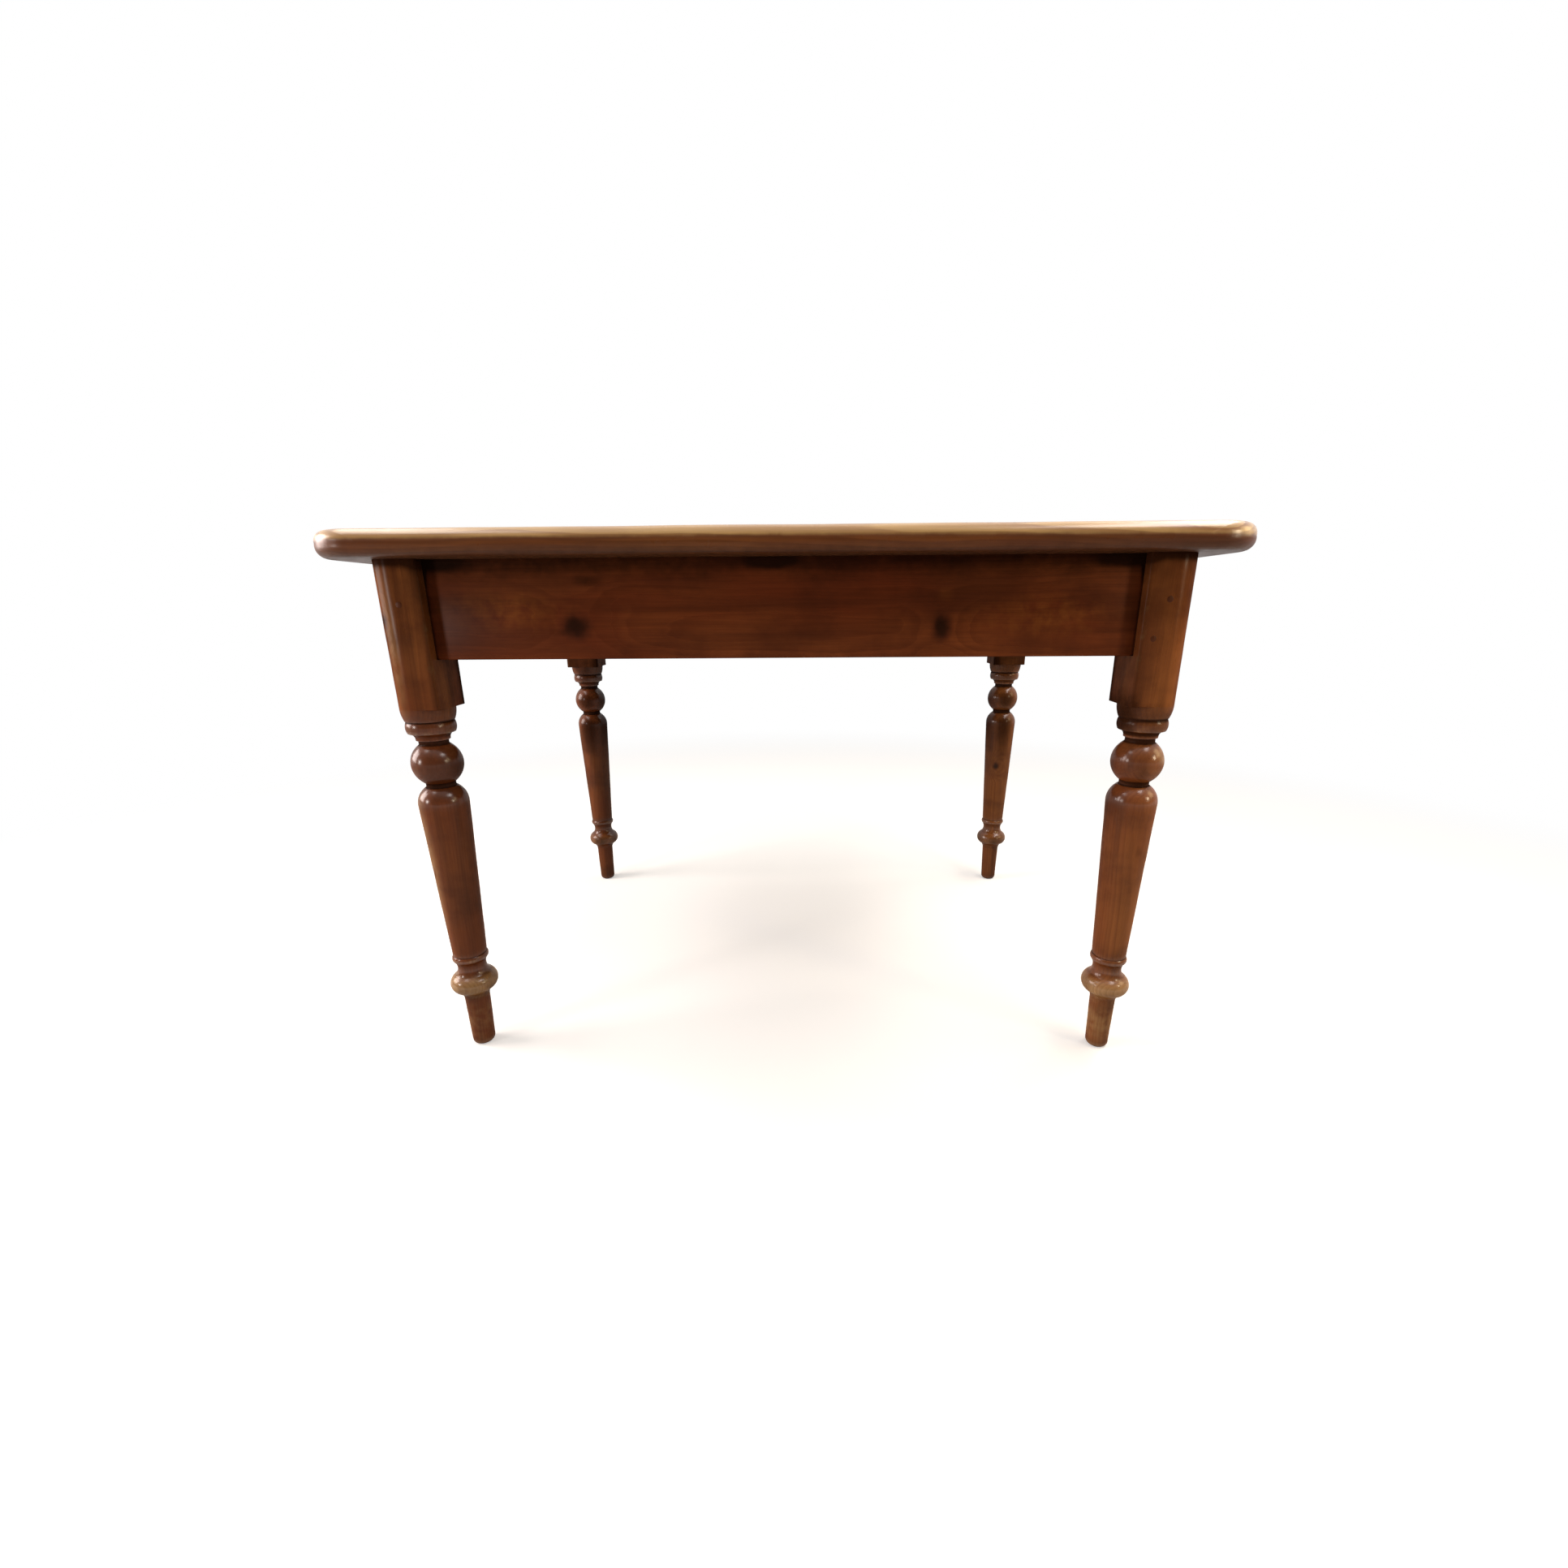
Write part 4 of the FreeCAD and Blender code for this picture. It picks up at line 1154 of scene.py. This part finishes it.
def eased_copy(node: str, name: str, ease: float) -> bpy.types.Object:
    """A copy of a piece of the frame with its sharp edges eased.

    Args:
        node: the frame's piece.
        name: the copy's name.
        ease: width of the easing.

    Returns:
        The copy, with its doubled vertices merged and its edges bevelled.
    """
    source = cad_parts[node]
    mesh = source.data.copy()
    mesh.materials.clear()
    made = bpy.data.objects.new(name, mesh)
    bpy.context.scene.collection.objects.link(made)
    weld = made.modifiers.new("weld", "WELD")
    weld.merge_threshold = 0.00001
    planar = made.modifiers.new("planar", "DECIMATE")
    planar.decimate_type = "DISSOLVE"
    planar.angle_limit = math.radians(1.0)
    bevel = made.modifiers.new("ease", "BEVEL")
    bevel.width = ease
    bevel.segments = 2
    bevel.limit_method = "ANGLE"
    bevel.angle_limit = math.radians(40.0)
    seen = made.evaluated_get(bpy.context.evaluated_depsgraph_get())
    eased = bpy.data.meshes.new_from_object(seen)
    eased.name = name
    made.modifiers.clear()
    made.data = eased
    return made


@dataclass
class Carcass:
    """The aprons and the small pieces inside them."""

    apron_ease: float = 0.0009
    inner_ease: float = 0.00054
    screw_ease: float = 0.0001
    peg_ease: float = 0.0004
    apron_polish: float = 0.035

    def put_copy(
        self, node: str, suffix: str, ease: float, finish: bpy.types.Material
    ) -> bpy.types.Object:
        """Puts an eased copy in a node's place.

        Args:
            node: the frame's piece.
            suffix: what the copy's name adds to the node's.
            ease: width of the easing.
            finish: its material.

        Returns:
            The copy.
        """
        piece = eased_copy(node, f"{node}_{suffix}", ease)
        smooth_shading(piece, crease_degrees=35.0)
        settle(piece, finish, [node])
        return piece

    def build_aprons(self, sawings: dict[str, Sawing]) -> None:
        """Makes the aprons with their tenons."""
        for side, sawing in sawings.items():
            node = f"apron_{side}"
            finish = APRON_WOOD.build(node, sawing)
            piece = self.put_copy(node, "board", self.apron_ease, finish)
            put_marks(piece, {"polish": np.full(len(piece.data.vertices), self.apron_polish)})

    def build_inner(self) -> None:
        """Makes the bearers, glue blocks, buttons and tongues, each cut from its own wood."""
        grains = {"bearer": Grain.ALONG_Y, "glue": Grain.ALONG_Z}
        draw = np.random.default_rng(5)
        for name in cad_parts:
            if name.endswith("_screws") or not name.startswith(("bearer", "glue_block", "button", "top_t")):
                continue
            low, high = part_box(name)
            away = draw.uniform(0.02, 0.08, size=3) * draw.choice((-1.0, 1.0), size=3)
            heart = tuple(float(part) for part in (np.array(low) + np.array(high)) / 2 + away)
            grain = grains.get(name.split("_")[0], Grain.ALONG_X)
            sawing = Sawing(grain, heart, (0.02, 0.01), tone=float(draw.uniform(0.85, 1.05)))
            self.put_copy(name, "wood", self.inner_ease, INNER_WOOD.build(name, sawing))

    def build_fixings(self) -> None:
        """Makes the screws and the pegs."""
        steel = SteelFinish().build()
        for name in ("button_screws", "bearer_screws"):
            self.put_copy(name, "steel", self.screw_ease, steel)
        for side in ("front", "back", "left", "right"):
            node = f"pegs_{side}"
            grain = Grain.ALONG_Y if side in ("front", "back") else Grain.ALONG_X
            heart = tuple(float(part) + 0.004 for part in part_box(node)[0])
            finish = PEG_WOOD.build(node, Sawing(grain, heart))
            self.put_copy(node, "wood", self.peg_ease, finish)

    def build(self, sawings: dict[str, Sawing]) -> None:
        """Makes the aprons, the inner pieces and the fixings."""
        self.build_aprons(sawings)
        self.build_inner()
        self.build_fixings()


# The studio

@dataclass(frozen=True)
class Lamp:
    """A soft rectangular lamp."""

    name: str
    place: Triple
    size: tuple[float, float]
    power: float
    colour: Colour


LAMPS = (
    Lamp("left_window", (-2.4, -0.3, 1.1), (1.1, 1.1), 50.0, stain(255, 240, 234)),
    Lamp("right_window", (2.2, -0.5, 1.3), (0.8, 0.8), 8.5, stain(255, 226, 170)),
    Lamp("left_skylight", (-1.42, -0.25, 2.3), (2.1, 0.45), 15.0, stain(255, 248, 246)),
    Lamp("right_skylight", (1.38, -0.35, 2.3), (2.2, 0.5), 31.0, stain(255, 247, 244)),
    Lamp("right_ceiling", (1.5, 0.75, 2.3), (0.9, 0.9), 6.0, stain(255, 246, 232)),
    Lamp("left_glint", (-1.6, -1.2, 0.7), (0.2, 0.28), 5.6, stain(255, 246, 240)),
    Lamp("right_glint", (1.6, -1.1, 0.9), (0.2, 0.28), 5.0, stain(255, 236, 200)),
    Lamp("ceiling", (0.0, 0.5, 2.6), (2.0, 1.0), 6.0, stain(255, 250, 240)),
)


@dataclass
class Studio:
    """Pale floor, soft lamps and the camera."""

    sensor: float = 36.0
    lens: float = 15.17
    shift: tuple[float, float] = (-0.0098, 0.0176)
    camera_place: Triple = (0.040, -1.248, 0.666)
    pitch: float = math.radians(17.09)
    yaw: float = math.radians(-1.16)
    roll: float = math.radians(0.42)
    lamps: tuple[Lamp, ...] = LAMPS
    lit_middle: Triple = (0.0, 0.0, 0.6)
    brightest_way: Triple = (0.0, 0.72, 0.69)
    air_colour: Colour = stain(252, 250, 246)
    front_light: float = 0.17
    back_light: float = 0.26
    front_mirrored: float = 0.12
    floor_colour: Colour = stain(232, 230, 226)
    floor_cast: Colour = stain(168, 158, 146)
    floor_size: float = 30.0
    shadow_reach: float = 1.3
    white_from: float = 2.6
    floor_glow: float = 0.42

    def set_camera(self) -> None:
        """Places the camera where the photograph was taken from."""
        data = bpy.data.cameras.new("camera")
        data.lens = self.lens
        data.sensor_width = self.sensor
        data.shift_x, data.shift_y = self.shift
        data.clip_start = 0.01
        camera = bpy.data.objects.new("camera", data)
        camera.location = self.camera_place
        camera.rotation_euler = self.heading()
        bpy.context.scene.collection.objects.link(camera)
        bpy.context.scene.camera = camera

    def heading(self) -> Euler:
        """The camera's turn: level and facing +Y, then rolled, pitched down and yawed."""
        level = Matrix.Rotation(math.pi / 2, 3, "X")
        rolled = Matrix.Rotation(-self.roll, 3, "Z")
        pitched = Matrix.Rotation(-self.pitch, 3, "X")
        yawed = Matrix.Rotation(-self.yaw, 3, "Z")
        return (yawed @ pitched @ level @ rolled).to_euler("XYZ")

    def set_world(self) -> None:
        """White to the eye, and a soft light that comes more from above and behind.

        Its strength eases from front to back with the cosine of the angle to the brightest way.
        Mirrored rays see it nearly white behind and dim in front.
        """
        world = bpy.data.worlds.new("room")
        bpy.context.scene.world = world
        bench = NodeBench(world)
        way = bench.node("ShaderNodeTexCoord", {}).outputs["Generated"]
        facing = bench.vector("DOT_PRODUCT", way, self.brightest_way)
        strength = bench.span(facing, -0.35, 0.85, self.front_light, self.back_light)
        light = bench.node("ShaderNodeBackground", {"Color": self.air_colour, "Strength": strength})
        camera_ray = bench.node("ShaderNodeLightPath", {}).outputs["Is Camera Ray"]
        mirrored = bench.span(facing, -0.35, 0.6, self.front_mirrored, 1.0)
        strength = bench.step("MAXIMUM", mirrored, camera_ray)
        seen = bench.node("ShaderNodeBackground", {"Color": WHITE, "Strength": strength})
        mix = bench.layer(bench.shown(), light.outputs[0], seen.outputs[0])
        bench.node("ShaderNodeOutputWorld", {"Surface": mix})

    def add_lamp(self, lamp: Lamp) -> None:
        """Adds a lamp that faces the table."""
        data = bpy.data.lights.new(lamp.name, "AREA")
        data.shape = "RECTANGLE"
        data.size, data.size_y = lamp.size
        data.energy = lamp.power
        data.color = lamp.colour[:3]
        made = bpy.data.objects.new(lamp.name, data)
        made.location = lamp.place
        way = Vector(self.lit_middle) - Vector(lamp.place)
        made.rotation_euler = way.to_track_quat("-Z", "Y").to_euler()
        bpy.context.scene.collection.objects.link(made)

    def add_floor(self) -> None:
        """Adds the floor, white except for the table's soft shadow, and clear as seen from below.

        The table itself is lit by a darker floor than the one that is seen.
        """
        half = self.floor_size / 2
        corners = np.array([[-half, -half, 0.0], [half, -half, 0.0], [half, half, 0.0], [-half, half, 0.0]])
        floor = put_mesh("floor", corners, [[0, 1, 2, 3]])
        bench = NodeBench(bpy.data.materials.new("pale_floor"))
        place = bench.node("ShaderNodeTexCoord", {}).outputs["Object"]
        matte = bench.node("ShaderNodeBsdfDiffuse", {"Color": self.floor_colour})
        cast = bench.node("ShaderNodeBsdfDiffuse", {"Color": self.floor_cast})
        glow = bench.node("ShaderNodeEmission", {"Color": WHITE, "Strength": self.floor_glow})
        near = bench.node("ShaderNodeAddShader", {0: matte.outputs[0], 1: glow.outputs[0]})
        white = bench.node("ShaderNodeEmission", {"Color": WHITE, "Strength": 1.0})
        away = bench.span(bench.vector("LENGTH", place), self.shadow_reach, self.white_from, 0.0, 1.0)
        seen = bench.layer(away, near.outputs[0], white.outputs[0])
        mix = bench.layer(bench.shown(), cast.outputs[0], seen)
        below = bench.node("ShaderNodeNewGeometry", {}).outputs["Backfacing"]
        clear = bench.node("ShaderNodeBsdfTransparent", {})
        mix = bench.layer(below, mix, clear.outputs[0])
        bench.node("ShaderNodeOutputMaterial", {"Surface": mix})
        floor.data.materials.append(bench.owner)

    def build(self) -> None:
        """Sets the view, the floor, the lamps and the camera."""
        bpy.context.scene.view_settings.view_transform = "Standard"
        self.set_world()
        self.add_floor()
        for lamp in self.lamps:
            self.add_lamp(lamp)
        self.set_camera()


# How each piece was cut and used

@dataclass(frozen=True)
class LegPast:
    """What sets one leg apart from the others, with places measured from its axis."""

    tone: float = 0.74
    redness: float = -0.12
    ring_wear: float = 0.3
    foot_wear: float = 0.1
    # a paler outer side: partly rubbed, partly painted light from the side lamps
    outer_wear_and_light: float = 0.15
    knots: tuple[Knot, ...] = ()
    patches: tuple[Patch, ...] = (Patch(Trace.GRIME, (0.0, 0.0, 0.42), (0.06, 0.06, 0.07), 0.3),)


LEG_PASTS = {
    "leg_front_left": LegPast(
        0.88, -0.04, 0.74, 0.38, 0.42,
        (Knot((-0.024, -0.03, 0.655), (0.006, 0.012, 0.009)),),
        (
            # Paler on the taper's and block's sides towards the left lamps: partly rubbed, partly painted
            # light
            Patch(Trace.WEAR, (-0.027, -0.026, 0.3), (0.02, 0.03, 0.13), 0.56),
            Patch(Trace.WEAR, (-0.022, -0.035, 0.62), (0.018, 0.01, 0.12), 0.5),
            Patch(Trace.GRIME, (0.004, 0.0, 0.452), (0.05, 0.06, 0.03), 0.15),
        ),
    ),
    "leg_front_right": LegPast(
        1.15, 0.05, 0.62, 0.5, 0.42,
        (),
        (
            Patch(Trace.GRIME, (0.006, -0.031, 0.335), (0.006, 0.012, 0.009), 0.4),
            # Painted shade down the taper's right side
            Patch(Trace.GRIME, (0.024, -0.016, 0.27), (0.014, 0.03, 0.14), 0.3),
            Patch(Trace.GRIME, (0.0, 0.0, 0.52), (0.06, 0.06, 0.028), 0.6),
            # Painted shade on the middle of the ball, between its highlights
            Patch(Trace.GRIME, (-0.007, -0.033, 0.45), (0.013, 0.02, 0.024), 0.5),
            # Paler on the ball's right: partly rubbed, partly a painted highlight
            Patch(Trace.WEAR, (0.024, -0.018, 0.472), (0.014, 0.022, 0.014), 0.5),
        ),
    ),
    "leg_back_left": LegPast(),
    "leg_back_right": LegPast(knots=(Knot((-0.01, -0.03, 0.3), (0.006, 0.012, 0.008)),)),
}


def leg_sawing(name: str, side: int) -> Sawing:
    """How a leg was cut, where hands and feet have rubbed or soiled it, and where light and shade are
    painted on it.

    Args:
        name: the leg's node.
        side: -1 on the left and 1 on the right.

    Returns:
        The leg's cut.
    """
    low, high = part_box(name)
    x, y = (low.x + high.x) / 2, (low.y + high.y) / 2
    past = LEG_PASTS[name]
    patches = (
        Patch(Trace.WEAR, (0.0, 0.0, 0.112), (0.045, 0.045, 0.018), past.ring_wear),
        Patch(Trace.WEAR, (0.0, 0.0, 0.045), (0.05, 0.05, 0.045), past.foot_wear),
        Patch(Trace.GRIME, (0.0, 0.0, 0.0), (0.04, 0.04, 0.02), 0.45),
        *past.patches,
    )
    knots, patches = (
        tuple(replace(mark, place=(x + mark.place[0], y + mark.place[1], mark.place[2])) for mark in marks)
        for marks in (past.knots, patches)
    )
    inner_x, outer_x = (high.x, low.x) if side < 0 else (low.x, high.x)
    inner_y = high.y if y < 0 else low.y
    # Painted shade under the top and on the inner faces beside the aprons; the outer side is paler, partly
    # worn and partly painted light from the side lamps.
    borders = (
        Border(Trace.GRIME, Axis.Z, TABLE_UNDERSIDE, 0.016, 0.7),
        Border(Trace.GRIME, Axis.X, inner_x, 0.02, 0.5),
        Border(Trace.WEAR, Axis.X, outer_x, 0.006, past.outer_wear_and_light),
        Border(Trace.GRIME, Axis.Y, inner_y, 0.012, 0.6),
    )
    heart = (x - 0.034 * side, y + 0.05, 0.0)
    lean = (0.012, 0.006 * side)
    return Sawing(Grain.ALONG_Z, heart, lean, knots, patches, borders, past.tone, past.redness)


def apron_sawing(side: str) -> Sawing:
    """How an apron was cut, with painted shade along its upper edge under the top, at its ends by the legs
    and along its lower edge.
    """
    low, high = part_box(f"apron_{side}")
    leg_low, leg_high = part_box("leg_front_right")
    span_axis, end = (Axis.X, leg_low.x) if side in ("front", "back") else (Axis.Y, -leg_high.y)
    # Painted shade under the top, in the creases at the legs, and as a line along the lower edge.
    borders = (
        Border(Trace.GRIME, Axis.Z, TABLE_UNDERSIDE, 0.045, 0.75),
        Border(Trace.GRIME, span_axis, end, 0.007, 0.7),
        Border(Trace.GRIME, span_axis, -end, 0.007, 0.7),
        Border(Trace.GRIME, Axis.Z, low.z, 0.003, 0.4),
    )
    face = low.y
    if side == "front":
        knots = (
            Knot((-0.267, face, 0.6455), (0.0165, 0.03, 0.0145), 2.6),
            Knot((0.207, face, 0.6415), (0.0105, 0.03, 0.0155), 1.8),
        )
        patches = (
            Patch(Trace.GRIME, (-0.287, face, 0.638), (0.018, 0.02, 0.006), 0.45),
            Patch(Trace.GRIME, (-0.2485, face, 0.7), (0.016, 0.02, 0.006), 0.35),
            Patch(Trace.WEAR, (0.209, face, 0.684), (0.012, 0.02, 0.01), 0.3),
            Patch(Trace.WEAR, (-0.36, face, 0.665), (0.11, 0.02, 0.035), 0.4),
            Patch(Trace.WEAR, (0.34, face, 0.655), (0.12, 0.02, 0.035), 0.4),
            # Three dark patches along the upper edge
            Patch(Trace.GRIME, (-0.446, face, 0.7235), (0.032, 0.02, 0.008), 0.5),
            Patch(Trace.GRIME, (-0.012, face, 0.724), (0.026, 0.02, 0.007), 0.5),
            Patch(Trace.GRIME, (0.434, face, 0.7225), (0.028, 0.02, 0.008), 0.5),
        )
        return Sawing(Grain.ALONG_X, (0.0, -0.425, 0.648), (0.006, 0.01), knots, patches, borders)
    if side == "back":
        knots = (Knot((0.12, high.y, 0.66), (0.007, 0.03, 0.009), 2.4),)
        return Sawing(Grain.ALONG_X, (0.0, 0.43, 0.66), (0.006, -0.01), knots, (), borders)
    way = -1 if side == "left" else 1
    knots = (Knot((way * 0.513, 0.11 * way, 0.65), (0.03, 0.008, 0.008), 2.4),)
    return Sawing(Grain.ALONG_Y, (way * 0.58, 0.0, 0.65), (0.0, 0.01), knots, (), borders)


# Each board of the top, from the front: its heart, its lean, and its knots, each given by
# its place along and across the table, its half length and half width, and its push
BOARD_CUTS = (
    ((0.0, -0.345, 0.66), (0.01, 0.006), ((0.31, -0.33, 0.012, 0.014, 2.5),)),
    (
        (0.0, -0.15, 0.845),
        (-0.012, -0.01),
        ((-0.24, -0.13, 0.016, 0.013, 3.0), (0.44, -0.2, 0.008, 0.008, 1.8)),
    ),
    ((0.0, 0.02, 0.675), (0.014, 0.01), ((0.06, 0.03, 0.014, 0.012, 3.0),)),
    (
        (0.0, 0.15, 0.85),
        (-0.01, 0.012),
        ((-0.38, 0.17, 0.012, 0.011, 2.6), (0.22, 0.2, 0.01, 0.009, 2.0)),
    ),
    ((0.0, 0.345, 0.69), (0.012, -0.01), ((-0.12, 0.33, 0.012, 0.013, 2.4),)),
)


def board_sawings() -> list[Sawing]:
    """How the five boards of the top were cut."""
    sawings = []
    for heart, lean, rows in BOARD_CUTS:
        knots = tuple(
            Knot((x, y, TABLE_TOP), (length, width, 0.05), push) for x, y, length, width, push in rows
        )
        sawings.append(Sawing(Grain.ALONG_X, heart, lean, knots))
    return sawings


def main() -> None:
    """Makes the table piece by piece, then the studio."""
    logging.basicConfig(level=logging.INFO, format="%(message)s")
    seed = 11
    for depth, end in ((-1, "front"), (1, "back")):
        for side, hand in ((-1, "left"), (1, "right")):
            seed += 7
            name = f"leg_{end}_{hand}"
            TurnedLeg(name, side, depth, seed, leg_sawing(name, side)).build()
    BoardTop(board_sawings()).build()
    Carcass().build({side: apron_sawing(side) for side in ("front", "back", "left", "right")})
    Studio().build()


if __name__ == "__main__":
    main()
